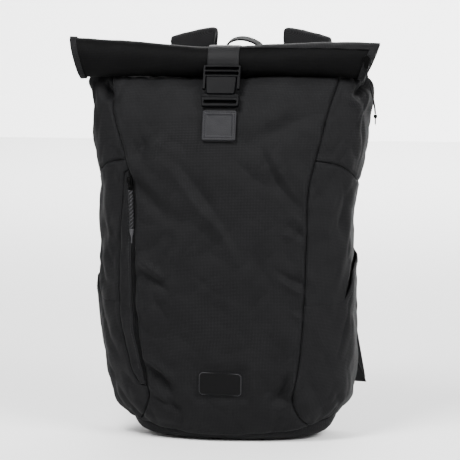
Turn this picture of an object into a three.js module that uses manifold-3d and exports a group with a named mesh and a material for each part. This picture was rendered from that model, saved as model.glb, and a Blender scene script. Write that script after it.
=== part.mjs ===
// A black rolltop backpack, in millimetres. Up is +Z, the front faces -Y and +X is the viewer's right.
// The origin is on the floor, under the middle of the base.
import * as THREE from 'three';
import { mergeVertices } from 'three/addons/utils/BufferGeometryUtils.js';
import Module from 'manifold-3d';

const wasm = await Module();
wasm.setup();

// Driving sizes of the bag
const BODY_HEIGHT = 433;
const HALF_WIDTH = 150;
const FRONT_DEPTH = 83;
const BACK_DEPTH = 78;
const CLOTH = 2;
const BACK_FOAM = 5;
const GAP = 0.35;
const CORNER_RISE = 0.037 * BODY_HEIGHT;

// The rolled mouth
const ROLL_LENGTH = 361;
const ROLL_SHIFT = -3.5;
const ROLL_HALF_DEPTH = 18;
const ROLL_HALF_HEIGHT = 19.5;
const ROLL_SET_FORWARD = 22;
const ROLL_BAND = 2.8;
const ROLL_PITCH = 3.6;
const ROLL_TURNS = 2.5;
const ROLL_END_LEAN = 10;

// Webbing, buckle and patches
const WEB_WIDTH = 38;
const WEB_THICK = 1.6;
const BUCKLE_WIDTH = 44;
const BUCKLE_THICK = 5;
const LADDER_HEIGHT = 13;
const SOCKET_WIDTH = 36;
const SOCKET_HEIGHT = 19;
const SOCKET_THICK = 7;
const FRAME_HEIGHT = 15;
const SLOT_HEIGHT = 3.4;
const RIM = 2.6;
const TONGUE_THICK = 2.2;
const PATCH_HEIGHT = 35;
const PATCH_WIDTH = 39.5;
const PATCH_THICK = 2.4;
const PATCH_BORDER = 4;
const LABEL_WIDTH = 50;
const LABEL_HEIGHT = 27;
const LABEL_THICK = 1.2;
const LABEL_ASIDE = 3;
const LABEL_UP = 0.162 * BODY_HEIGHT;

// Zips and their pulls
const ZIP_WIDTH = 3.6;
const ZIP_SINK = 0.7;
const SLIDER_WIDTH = 8;
const SLIDER_LENGTH = 15;
const SLIDER_THICK = 3;
const SLIDER_UP = 0.714 * BODY_HEIGHT;
const PULL_WIDTH = 5.6;
const PULL_LENGTH = 44;
const TAIL_LENGTH = 17;
const THIN_PULL = 2;
const BEAD_WIDTH = 4.4;

// Harness on the back
const PAD_THICK = 10;
const PAD_WIDTH = 76;
const PAD_EDGE = 0.35;
const PAD_SPREAD = 57;
const PAD_LOW = 0.12 * BODY_HEIGHT;
const PAD_HIGH = 0.859 * BODY_HEIGHT;
const STRAP_WIDTH = 60;
const STRAP_THICK = 12;
const STRAP_CREST = 1.095 * BODY_HEIGHT;
const STRAP_STAND = 46;
const NARROW_WEB = 25;
const LOCK_HEIGHT = 16;
const LOCK_THICK = 4;
const WING_REACH = 158;
const WING_LOW = 0.102 * BODY_HEIGHT;
const WING_HIGH = 0.245 * BODY_HEIGHT;
const WING_BACK = 72;
const HANDLE_WIDTH = 20;
const HANDLE_THICK = 2.6;
const HANDLE_CREST = 1.076 * BODY_HEIGHT;

const cloth = (name, colour) => new THREE.MeshStandardMaterial({ name, color: colour, roughness: 0.85 });
const blackNylon = cloth('black_nylon', 0x2c2c2e);
const darkNylon = cloth('dark_nylon', 0x242426);
const webbing = cloth('webbing', 0x3a3a3c);
const paddedMesh = cloth('padded_mesh', 0x222224);
const leather = new THREE.MeshStandardMaterial({ name: 'leather', color: 0x48484c, roughness: 0.55 });
const plastic = new THREE.MeshStandardMaterial({ name: 'plastic', color: 0x39393b, roughness: 0.4 });
const metal = new THREE.MeshStandardMaterial({ name: 'dark_metal', color: 0x2a2a2c, roughness: 0.35 });
metal.metalness = 1;

const group = new THREE.Group();
group.name = 'rolltop_backpack';

function add(name, geometry, material, parent = group) {
  const mesh = new THREE.Mesh(geometry, material);
  mesh.name = name;
  parent.add(mesh);
  return mesh;
}

const clamp = (value, low, high) => Math.min(high, Math.max(low, value));
const mix = (from, to, share) => from + (to - from) * share;
const smooth = (low, high, value) => {
  const share = clamp((value - low) / (high - low), 0, 1);
  return share * share * (3 - 2 * share);
};

// A column of a table read at a place between its rows, on a smooth curve through them
function readTable(table, column, share, key = 'up') {
  let row = 0;
  while (row < table.length - 2 && table[row + 1][key] < share) row += 1;
  const slope = (index) => {
    const low = table[Math.max(index - 1, 0)];
    const high = table[Math.min(index + 1, table.length - 1)];
    return (high[column] - low[column]) / (high[key] - low[key]);
  };
  const from = table[row];
  const to = table[row + 1];
  const span = to[key] - from[key];
  const t = clamp((share - from[key]) / span, 0, 1);
  return from[column] * (1 + 2 * t) * (1 - t) ** 2 + slope(row) * span * t * (1 - t) ** 2
    + to[column] * t ** 2 * (3 - 2 * t) + slope(row + 1) * span * t ** 2 * (t - 1);
}

// Cross-sections from the base seam to the mouth. up is the row's place on the way there.
// left and right are shares of HALF_WIDTH, front of FRONT_DEPTH and back of BACK_DEPTH.
// frontUp and backUp are shares of BODY_HEIGHT, so a section tilts where they differ.
// seamLeft and seamRight are the front seams, as shares of HALF_WIDTH.
const SECTION_COLUMNS = [
  'up', 'left', 'right', 'front', 'back', 'frontUp', 'backUp', 'seamLeft', 'seamRight',
];
const SECTIONS = [
  [0.000, 0.845, 0.865, 0.790, 0.820, 0.026, 0.040, 0.650, 0.690],
  [0.040, 0.905, 0.920, 0.880, 0.900, 0.060, 0.070, 0.600, 0.620],
  [0.100, 0.950, 0.950, 0.950, 0.970, 0.118, 0.122, 0.555, 0.575],
  [0.200, 0.980, 0.965, 0.995, 1.000, 0.215, 0.215, 0.600, 0.625],
  [0.320, 1.000, 0.955, 1.000, 1.000, 0.330, 0.330, 0.650, 0.655],
  [0.450, 1.000, 0.935, 0.995, 1.000, 0.455, 0.455, 0.662, 0.675],
  [0.570, 1.010, 0.920, 0.980, 1.000, 0.570, 0.570, 0.662, 0.682],
  [0.680, 1.010, 0.960, 0.945, 1.000, 0.680, 0.680, 0.680, 0.690],
  [0.770, 1.020, 0.990, 0.890, 1.000, 0.765, 0.765, 0.745, 0.745],
  [0.860, 1.050, 1.050, 0.770, 0.990, 0.860, 0.850, 0.840, 0.805],
  [0.920, 1.090, 1.120, 0.640, 0.960, 0.915, 0.915, 0.880, 0.845],
  [0.960, 1.090, 1.120, 0.500, 0.800, 0.955, 0.958, 0.895, 0.880],
  [0.985, 1.060, 1.080, 0.330, 0.360, 0.972, 0.982, 0.900, 0.890],
  [1.000, 1.020, 1.030, 0.160, -0.060, 0.976, 1.000, 0.900, 0.890],
].map((row) => Object.fromEntries(row.map((value, index) => [SECTION_COLUMNS[index], value])));
const FRONT_ROUNDNESS = 2.4;
const BACK_ROUNDNESS = 4.5;
const WIDEST = 0.44;
const BACK_SEAM = 0.88;

// Main folds of the cloth. around is the place round the bag, 0 at the front's middle and 1 at the side,
// up the place on the way up, lean in degrees from upright, and long, wide and rise are shares of HALF_WIDTH.
const FOLDS = [
  { around: -0.33, up: 0.66, lean: 48, long: 0.413, wide: 0.060, rise: -0.0227 },
  { around: -0.36, up: 0.72, lean: 42, long: 0.333, wide: 0.060, rise: 0.0173 },
  { around: -0.54, up: 0.77, lean: -38, long: 0.173, wide: 0.047, rise: -0.0200 },
  { around: 0.36, up: 0.72, lean: 32, long: 0.267, wide: 0.053, rise: 0.0187 },
  { around: 0.48, up: 0.69, lean: 30, long: 0.227, wide: 0.053, rise: -0.0187 },
  { around: -0.36, up: 0.43, lean: 66, long: 0.173, wide: 0.053, rise: -0.0160 },
  { around: 0.44, up: 0.42, lean: 50, long: 0.187, wide: 0.053, rise: -0.0173 },
  { around: -0.30, up: 0.16, lean: 52, long: 0.227, wide: 0.060, rise: -0.0213 },
  { around: 0.34, up: 0.11, lean: -48, long: 0.213, wide: 0.060, rise: -0.0200 },
  { around: 0.20, up: 0.84, lean: -70, long: 0.293, wide: 0.060, rise: -0.0120 },
  { around: -0.92, up: 0.90, lean: 24, long: 0.200, wide: 0.100, rise: -0.0600 },
  { around: 0.95, up: 0.88, lean: -26, long: 0.227, wide: 0.100, rise: -0.0600 },
  { around: 0.80, up: 0.60, lean: 20, long: 0.293, wide: 0.093, rise: -0.0267 },
  { around: -0.82, up: 0.50, lean: -16, long: 0.333, wide: 0.093, rise: -0.0200 },
];
const GIRTH_PER_QUARTER = 1.25 * HALF_WIDTH;

const quarter = Math.PI / 2;
const signedPower = (value, power) => Math.sign(value) * Math.abs(value) ** power;

// The front and back ends of a section and its own upward direction
function sectionAt(up) {
  const row = (column) => readTable(SECTIONS, column, up);
  const front = new THREE.Vector3(0, -row('front') * FRONT_DEPTH, row('frontUp') * BODY_HEIGHT);
  const back = new THREE.Vector3(0, row('back') * BACK_DEPTH, row('backUp') * BODY_HEIGHT);
  const through = back.clone().sub(front);
  const depth = through.length();
  through.normalize();
  const upward = new THREE.Vector3(0, -through.z, through.y);
  return { front, through, depth, upward, left: row('left') * HALF_WIDTH, right: row('right') * HALF_WIDTH };
}

// A point of the bag's skin. around runs from -2 at the back's middle by the left side (-1) and the front (0)
// to the right side (1) and the back (2). inset shrinks the section for the inner face of a wall.
function plainPoint(around, up, inset = 0) {
  const section = sectionAt(up);
  const angle = around * quarter;
  const isFront = Math.abs(around) < 1;
  const power = 2 / (isFront ? FRONT_ROUNDNESS : BACK_ROUNDNESS);
  const half = (around < 0 ? section.left : section.right) - inset;
  const middle = section.depth * WIDEST;
  const reach = (isFront ? middle : section.depth - middle) - inset;
  const into = middle - reach * signedPower(Math.cos(angle), power);
  const point = section.front.clone().addScaledVector(section.through, into);
  point.x = half * signedPower(Math.sin(angle), power);
  point.z += CORNER_RISE * Math.sin(angle) ** 2 * (1 - smooth(0, 0.14, up));
  return point;
}

const STEP_AROUND = 0.012;
const STEP_UP = 0.006;

function outwardAt(around, up) {
  const low = clamp(up - STEP_UP, 0, 1);
  const high = clamp(up + STEP_UP, 0, 1);
  const along = plainPoint(around + STEP_AROUND, up).sub(plainPoint(around - STEP_AROUND, up));
  const rise = plainPoint(around, high).sub(plainPoint(around, low));
  return along.cross(rise).normalize();
}

function foldRise(around, up) {
  let rise = 0;
  for (const fold of FOLDS) {
    const acrossFold = (around - fold.around) * GIRTH_PER_QUARTER;
    const upFold = (up - fold.up) * BODY_HEIGHT;
    const lean = THREE.MathUtils.degToRad(fold.lean);
    const along = (-acrossFold * Math.sin(lean) + upFold * Math.cos(lean)) / (fold.long * HALF_WIDTH);
    const aside = (acrossFold * Math.cos(lean) + upFold * Math.sin(lean)) / (fold.wide * HALF_WIDTH);
    if (Math.abs(along) < 1) rise += fold.rise * Math.exp(-aside * aside) * (1 - along * along) ** 2;
  }
  return rise * HALF_WIDTH;
}

// A point at a depth under the skin, with the folds in it. proud lifts both faces of a wall alike.
function skinPoint(around, up, depth = 0, proud = 0) {
  const outward = outwardAt(around, up);
  const { upward } = sectionAt(up);
  const tilt = outward.dot(upward);
  const inset = depth * Math.sqrt(Math.max(0.04, 1 - tilt * tilt));
  const point = plainPoint(around, up, inset).addScaledVector(upward, -depth * tilt);
  return point.addScaledVector(outward, foldRise(around, up) + proud);
}

// The place round the bag of a distance across it, on the front or on the back
function aroundAt(across, up, onBack = false) {
  const section = sectionAt(up);
  const half = across < 0 ? section.left : section.right;
  const roundness = onBack ? BACK_ROUNDNESS : FRONT_ROUNDNESS;
  const share = Math.asin(clamp(Math.abs(across) / half, 0, 1) ** (roundness / 2)) / quarter;
  return Math.sign(across) * (onBack ? 2 - share : share);
}

const seamAcross = (side, up) => {
  const column = side < 0 ? 'seamLeft' : 'seamRight';
  return side * readTable(SECTIONS, column, up) * HALF_WIDTH;
};
const backAcross = (side, up) => {
  const section = sectionAt(up);
  return side * BACK_SEAM * (side < 0 ? section.left : section.right);
};

// A closed solid between two grids of points with the same rows and columns
function slab(outer, inner) {
  const rows = outer.length;
  const columns = outer[0].length;
  const positions = [...outer, ...inner].flat().flatMap((point) => [point.x, point.y, point.z]);
  const at = (layer, row, column) => (layer * rows + row) * columns + column;
  const faces = [];
  const quad = (a, b, c, d) => faces.push(a, b, c, a, c, d);
  for (let row = 0; row < rows - 1; row += 1) {
    for (let column = 0; column < columns - 1; column += 1) {
      quad(at(0, row, column), at(0, row, column + 1), at(0, row + 1, column + 1), at(0, row + 1, column));
      quad(at(1, row, column), at(1, row + 1, column), at(1, row + 1, column + 1), at(1, row, column + 1));
    }
  }
  const edge = [];
  for (let column = 0; column < columns - 1; column += 1) edge.push([0, column]);
  for (let row = 0; row < rows - 1; row += 1) edge.push([row, columns - 1]);
  for (let column = columns - 1; column > 0; column -= 1) edge.push([rows - 1, column]);
  for (let row = rows - 1; row > 0; row -= 1) edge.push([row, 0]);
  edge.forEach(([row, column], index) => {
    const [nextRow, nextColumn] = edge[(index + 1) % edge.length];
    quad(at(0, row, column), at(1, row, column), at(1, nextRow, nextColumn), at(0, nextRow, nextColumn));
  });
  return closed(positions, faces);
}

// Positions and faces as a geometry whose faces point outwards
function closed(positions, faces) {
  let volume = 0;
  const corner = (index) => new THREE.Vector3().fromArray(positions, 3 * index);
  for (let face = 0; face < faces.length; face += 3) {
    volume += corner(faces[face]).dot(corner(faces[face + 1]).cross(corner(faces[face + 2])));
  }
  const geometry = new THREE.BufferGeometry();
  geometry.setAttribute('position', new THREE.Float32BufferAttribute(positions, 3));
  geometry.setIndex(volume < 0 ? faces.reverse() : faces);
  geometry.computeVertexNormals();
  return geometry;
}

function grid(rows, columns, pointAt) {
  return Array.from({ length: rows + 1 }, (_, row) => (
    Array.from({ length: columns + 1 }, (__, column) => pointAt(column / columns, row / rows))));
}

// A solid through rings of points, each ring a closed outline. flat gives a cap's place on a plane.
// The second half of a ring runs back along the first, so its quads are split the other way:
// then both faces of a twisted band bend alike and it keeps its thickness.
function loft(rings, flat) {
  const count = rings[0].length;
  const positions = rings.flat().flatMap((point) => [point.x, point.y, point.z]);
  const faces = [];
  for (let ring = 0; ring < rings.length - 1; ring += 1) {
    for (let index = 0; index < count; index += 1) {
      const next = (index + 1) % count;
      const [a, b] = [ring * count + index, ring * count + next];
      if (index < count / 2) {
        faces.push(a, b, b + count, a, b + count, a + count);
      } else {
        faces.push(a, b, a + count, b, b + count, a + count);
      }
    }
  }
  const outline = rings[0].map(flat);
  const isClockwise = THREE.ShapeUtils.isClockWise(outline);
  for (const [p, q, r] of THREE.ShapeUtils.triangulateShape(outline, [])) {
    const last = (rings.length - 1) * count;
    if (isClockwise) {
      faces.push(p, q, r, last + p, last + r, last + q);
    } else {
      faces.push(p, r, q, last + p, last + q, last + r);
    }
  }
  return closed(positions, faces);
}

// A band or pad swept through stations, each with its centre, its direction across and its half sizes
function sweep(stations, corners = 4) {
  const rings = stations.map((station, index) => {
    const before = stations[Math.max(index - 1, 0)].centre;
    const after = stations[Math.min(index + 1, stations.length - 1)].centre;
    const along = after.clone().sub(before).normalize();
    const across = station.across.clone().addScaledVector(along, -station.across.dot(along)).normalize();
    const out = along.clone().cross(across);
    return Array.from({ length: corners }, (_, corner) => {
      const angle = (corner + 0.5) * 2 * Math.PI / corners;
      const power = corners > 4 ? 0.5 : 1;
      const stretch = corners > 4 ? 1 : Math.SQRT2;
      return station.centre.clone()
        .addScaledVector(across, station.halfWidth * stretch * signedPower(Math.cos(angle), power))
        .addScaledVector(out, station.halfThick * stretch * signedPower(Math.sin(angle), power));
    });
  });
  const flatOf = (index) => {
    const angle = (index + 0.5) * 2 * Math.PI / corners;
    return new THREE.Vector2(Math.cos(angle), Math.sin(angle));
  };
  return loft(rings, (_, index) => flatOf(index));
}

function rectangle(left, bottom, width, height, radius = 0) {
  const shape = new THREE.Shape();
  const [right, top] = [left + width, bottom + height];
  if (radius === 0) {
    shape.moveTo(left, bottom).lineTo(right, bottom).lineTo(right, top).lineTo(left, top).closePath();
    return shape;
  }
  shape.absarc(left + radius, bottom + radius, radius, Math.PI, 1.5 * Math.PI);
  shape.absarc(right - radius, bottom + radius, radius, 1.5 * Math.PI, 2 * Math.PI);
  shape.absarc(right - radius, top - radius, radius, 0, 0.5 * Math.PI);
  shape.absarc(left + radius, top - radius, radius, 0.5 * Math.PI, Math.PI);
  shape.closePath();
  return shape;
}

function plate(shape, thick, low = 0) {
  const geometry = new THREE.ExtrudeGeometry(shape, { depth: thick, bevelEnabled: false, curveSegments: 3 });
  return geometry.translate(0, 0, low);
}

function solid(geometry) {
  const bare = geometry.clone();
  bare.deleteAttribute('normal');
  bare.deleteAttribute('uv');
  const merged = mergeVertices(bare, 1e-4);
  const vertProperties = new Float32Array(merged.attributes.position.array);
  const triVerts = new Uint32Array(merged.index.array);
  return new wasm.Manifold(new wasm.Mesh({ numProp: 3, vertProperties, triVerts }));
}

function geometryOf(manifold) {
  const mesh = manifold.getMesh();
  const geometry = new THREE.BufferGeometry();
  geometry.setAttribute('position', new THREE.BufferAttribute(new Float32Array(mesh.vertProperties), 3));
  geometry.setIndex(new THREE.BufferAttribute(new Uint32Array(mesh.triVerts), 1));
  geometry.computeVertexNormals();
  return geometry;
}

const joined = (...geometries) => geometries.map(solid).reduce((whole, piece) => whole.add(piece));

// Panels that share a front seam have their rows at the same heights, a ROW apart
const ROWS = 30;
const ROW = 1 / ROWS;

// Half of the gap that two panels keep at a seam, across the bag and on the way up it
const HALF_GAP = GAP / 2;
const UP_GAP = HALF_GAP / BODY_HEIGHT;

// The curved seam between the upper and lower side panels, as a place on the way up
const SIDE_COLUMNS = 8;
const LOWER_ROWS = 23;
const UPPER_ROWS = ROWS - LOWER_ROWS;
const POCKET_ROWS = 11;
const SIDE_SEAM = [
  { around: 0.00, up: LOWER_ROWS * ROW },
  { around: 0.18, up: 0.754 },
  { around: 0.34, up: 0.732 },
  { around: 0.52, up: 0.706 },
  { around: 1.00, up: 0.672 },
];
// The bottle pocket's slanted mouth, and how far it stands off the side there as a share of POCKET_STAND
const POCKET_MOUTH = [
  { around: 0.00, up: POCKET_ROWS * ROW, stand: 0.00 },
  { around: 0.20, up: 0.368, stand: 0.30 },
  { around: 0.38, up: 0.380, stand: 0.85 },
  { around: 0.54, up: 0.450, stand: 1.00 },
  { around: 0.74, up: 0.495, stand: 0.90 },
  { around: 1.00, up: 0.510, stand: 0.00 },
];
const POCKET_STAND = 11;
const POCKET_SWELL = 1.3;
const STRIP_LOW = 4 * ROW;
const STRIP_HIGH = 22 * ROW;
const STRIP_WIDTH = 17;
const STRIP_END = 0.12;
const STRIP_LEAN = 0.72;
const STRIP_FULLNESS = 0.45;
const COVER_FADE = 0.03;
const POCKET_ROOM = 1;

// The share of its width that the zip strip has at a height: it narrows to STRIP_END at both ends
function stripShare(up) {
  const share = clamp((up - STRIP_LOW) / (STRIP_HIGH - STRIP_LOW), 0, 1);
  return mix(STRIP_END, 1, Math.sin(Math.PI * share ** STRIP_LEAN) ** STRIP_FULLNESS);
}

const hasStrip = (up) => up > STRIP_LOW - UP_GAP && up < STRIP_HIGH + UP_GAP;

function sideLimits(side, up) {
  const strip = side < 0 && hasStrip(up) ? stripShare(up) * (STRIP_WIDTH + ZIP_WIDTH) : 0;
  const front = seamAcross(side, up) + side * (HALF_GAP + strip);
  const back = backAcross(side, up) + side * 3 * HALF_GAP;
  return [aroundAt(front, up), aroundAt(back, up, true)];
}

// A wall of cloth between the front and back side seams, from lowAt up to highAt, at a depth under the skin
function sidePatch(side, rows, lowAt, highAt, depthAt) {
  const at = (inner) => (across, rise) => {
    const up = mix(lowAt(across), highAt(across), rise);
    const [front, back] = sideLimits(side, up);
    const around = mix(front, back, across);
    const depth = depthAt(across, up);
    const proud = depth < 0 ? -depth : 0;
    return skinPoint(around, up, Math.max(depth, 0) + (inner ? CLOTH : 0), proud);
  };
  return slab(grid(rows, SIDE_COLUMNS, at(false)), grid(rows, SIDE_COLUMNS, at(true)));
}

function makeFront() {
  const columns = 16;
  const at = (depth) => (across, up) => {
    const left = seamAcross(-1, up) + HALF_GAP;
    const right = seamAcross(1, up) - HALF_GAP;
    return skinPoint(aroundAt(mix(left, right, across), up), up, depth);
  };
  add('front_panel', slab(grid(ROWS, columns, at(0)), grid(ROWS, columns, at(CLOTH))), blackNylon);
}

// The zip lies in the left front seam and the strip beside it, and both narrow towards their ends
function makeZipStrip() {
  const rows = Math.round((STRIP_HIGH - STRIP_LOW) / ROW);
  const band = (near, far, depth) => grid(rows, 2, (across, rise) => {
    const up = mix(STRIP_LOW, STRIP_HIGH, rise);
    const seam = seamAcross(-1, up) - HALF_GAP;
    return skinPoint(aroundAt(seam - mix(near(up), far(up), across), up), up, depth);
  });
  const zipNear = () => 0;
  const zipFar = (up) => ZIP_WIDTH * stripShare(up) - HALF_GAP;
  const stripNear = (up) => ZIP_WIDTH * stripShare(up) + HALF_GAP;
  const stripFar = (up) => (ZIP_WIDTH + STRIP_WIDTH) * stripShare(up) - GAP;
  add('zip_tape', slab(band(zipNear, zipFar, ZIP_SINK), band(zipNear, zipFar, CLOTH)), darkNylon);
  add('zip_strip', slab(band(stripNear, stripFar, 0), band(stripNear, stripFar, CLOTH)), blackNylon);
}

function makeSides() {
  for (const [side, name] of [[-1, 'left'], [1, 'right']]) {
    const seam = (across) => readTable(SIDE_SEAM, 'up', across, 'around');
    const mouth = (across) => readTable(POCKET_MOUTH, 'up', across, 'around');
    const stand = (across) => readTable(POCKET_MOUTH, 'stand', across, 'around') * POCKET_STAND;
    const covered = (across, up) => (
      (CLOTH + POCKET_ROOM) * (1 - smooth(mouth(across) + UP_GAP, mouth(across) + COVER_FADE, up)));
    const bulge = (across, up) => -stand(across) * clamp(up / mouth(across), 0, 1) ** POCKET_SWELL;
    const bottom = () => 0;
    const aboveSeam = (across) => seam(across) + UP_GAP;
    const underSeam = (across) => seam(across) - UP_GAP;
    const upper = sidePatch(side, UPPER_ROWS, aboveSeam, () => 1, () => 0);
    const lower = sidePatch(side, LOWER_ROWS, bottom, underSeam, covered);
    const pocket = sidePatch(side, POCKET_ROWS, bottom, mouth, bulge);
    add(`side_upper_${name}`, upper, blackNylon);
    add(`side_lower_${name}`, lower, blackNylon);
    add(`bottle_pocket_${name}`, pocket, blackNylon);
  }
}

// The padded back wall ends where the thin cloth that runs forward to the roll begins
const BACK_TOP = 0.915;
const BACK_ROWS = 13;
const REAR_ROWS = 7;
const BACK_COLUMNS = 9;
const FOAM_EDGE = 0.12;

function makeBack() {
  const at = (low, high, depth) => (across, rise) => {
    const up = mix(low, high, rise);
    const left = backAcross(-1, up) + HALF_GAP;
    const right = backAcross(1, up) - HALF_GAP;
    return skinPoint(aroundAt(mix(left, right, across), up, true), up, depth(rise));
  };
  const wall = (low, high, thick, rows) => (
    slab(grid(rows, BACK_COLUMNS, at(low, high, () => 0)), grid(rows, BACK_COLUMNS, at(low, high, thick))));
  const foam = (rise) => mix(CLOTH, BACK_FOAM, smooth(0, FOAM_EDGE, Math.min(rise, 1 - rise)));
  add('back_panel', wall(0, BACK_TOP - UP_GAP, foam, BACK_ROWS), paddedMesh);
  add('rear_top', wall(BACK_TOP + UP_GAP, 1, () => CLOTH, REAR_ROWS), blackNylon);
}

const BASE_GAP = 2 * GAP;

// The base is a dish: its rim follows the base seam and its middle is the flat that stands on the floor
function makeBase() {
  const rings = [
    { out: 1.000, up: 1.00 },
    { out: 0.985, up: 0.50 },
    { out: 0.945, up: 0.14 },
    { out: 0.880, up: 0.00 },
  ];
  const around = 36;
  const rim = Array.from({ length: around }, (_, index) => {
    const place = 4 * index / around - 2;
    const point = skinPoint(place, 0);
    return { point, inward: skinPoint(place, 0, CLOTH).sub(point) };
  });
  const outer = rings.map((ring) => rim.map(({ point }) => (
    new THREE.Vector3(point.x * ring.out, point.y * ring.out, (point.z - BASE_GAP) * ring.up))));
  const inner = rings.map((ring, row) => rim.map(({ inward }, index) => {
    const offset = inward.clone().lerp(new THREE.Vector3(0, 0, CLOTH), row / (rings.length - 1));
    return outer[row][index].clone().add(offset);
  }));
  const ringList = [...inner.reverse(), ...outer];
  const positions = ringList.flat().flatMap((point) => [point.x, point.y, point.z]);
  positions.push(0, 0, CLOTH, 0, 0, 0);
  const faces = [];
  for (let ring = 0; ring < ringList.length - 1; ring += 1) {
    for (let index = 0; index < around; index += 1) {
      const next = (index + 1) % around;
      const [a, b] = [ring * around + index, ring * around + next];
      faces.push(a, b, b + around, a, b + around, a + around);
    }
  }
  const last = (ringList.length - 1) * around;
  const innerMiddle = ringList.length * around;
  for (let index = 0; index < around; index += 1) {
    const next = (index + 1) % around;
    faces.push(index, innerMiddle, next, last + index, last + next, innerMiddle + 1);
  }
  add('base_panel', closed(positions, faces), darkNylon);
}

// How the roll swells from its middle, which the strap pulls tight, to its ends
const ROLL_STATIONS = [
  { along: 0.00, height: 1.20, depth: 0.92, lift: 0.10 },
  { along: 0.14, height: 1.16, depth: 0.98, lift: 0.08 },
  { along: 0.30, height: 1.06, depth: 1.02, lift: 0.03 },
  { along: 0.44, height: 1.00, depth: 1.00, lift: 0.00 },
  { along: 0.56, height: 1.00, depth: 1.00, lift: 0.00 },
  { along: 0.66, height: 1.03, depth: 1.02, lift: 0.01 },
  { along: 0.84, height: 1.08, depth: 1.00, lift: 0.03 },
  { along: 1.00, height: 1.08, depth: 0.90, lift: 0.05 },
];
const ROLL_UP = 0.9815 * BODY_HEIGHT;
const ROLL_START = THREE.MathUtils.degToRad(-25);
const STEPS_PER_TURN = 16;
const rollAngle = (step) => ROLL_START + 2 * Math.PI * step / STEPS_PER_TURN;
const ROLL_SEAT = 0.82;

// A point of the roll's section: depth under its outer face, at an angle that winds inwards as it grows
function rollPoint(along, angle, depth) {
  const row = (column) => readTable(ROLL_STATIONS, column, along, 'along');
  const inset = depth + ROLL_PITCH * (angle - ROLL_START) / (2 * Math.PI);
  const halfDepth = ROLL_HALF_DEPTH * row('depth') - inset;
  const halfHeight = ROLL_HALF_HEIGHT * row('height') - inset;
  const middle = ROLL_UP + ROLL_HALF_HEIGHT * (row('height') + row('lift')) - ROLL_PITCH * ROLL_SEAT;
  const rise = halfHeight * Math.sin(angle);
  const lean = Math.sign(along - 0.5) * ROLL_END_LEAN * smooth(0.3, 0.5, Math.abs(along - 0.5));
  const across = ROLL_LENGTH * (along - 0.5) + ROLL_SHIFT + lean * rise / (2 * ROLL_HALF_HEIGHT);
  return new THREE.Vector3(across, -ROLL_SET_FORWARD + halfDepth * Math.cos(angle), middle + rise);
}

function makeRoll() {
  const steps = Math.round(ROLL_TURNS * STEPS_PER_TURN);
  const angles = Array.from({ length: steps + 1 }, (_, step) => rollAngle(step));
  const rings = ROLL_STATIONS.map(({ along }) => [
    ...angles.map((angle) => rollPoint(along, angle, 0)),
    ...angles.slice().reverse().map((angle) => rollPoint(along, angle, ROLL_BAND)),
  ]);
  add('rolled_top', loft(rings, (point) => new THREE.Vector2(point.y, point.z)), darkNylon);
}

// The place on the front's middle line that has a height, found by halving
const HALVINGS = 18;
const frontAt = (height) => {
  let [low, high] = [0, 1];
  for (let turn = 0; turn < HALVINGS; turn += 1) {
    const middle = (low + high) / 2;
    if (skinPoint(0, middle).z > height) high = middle;
    else low = middle;
  }
  return { up: low, y: skinPoint(0, low).y };
};

// The buckle lies in a plane that leans from the roll's front down to the front panel
const rollFront = rollPoint(0.5, Math.PI, 0);
const buckleTop = new THREE.Vector3(0, rollFront.y - WEB_THICK - 2.5 * GAP, rollFront.z);
const buckleDrop = LADDER_HEIGHT + SOCKET_HEIGHT + FRAME_HEIGHT;
const buckleFoot = new THREE.Vector3(0, frontAt(buckleTop.z - buckleDrop).y - 4, buckleTop.z - buckleDrop);
const strapLine = buckleTop.clone().sub(buckleFoot).normalize();
const buckleGroup = new THREE.Group();
buckleGroup.position.copy(buckleTop);
buckleGroup.rotation.x = Math.atan2(strapLine.z, strapLine.y);
group.add(buckleGroup);

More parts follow.
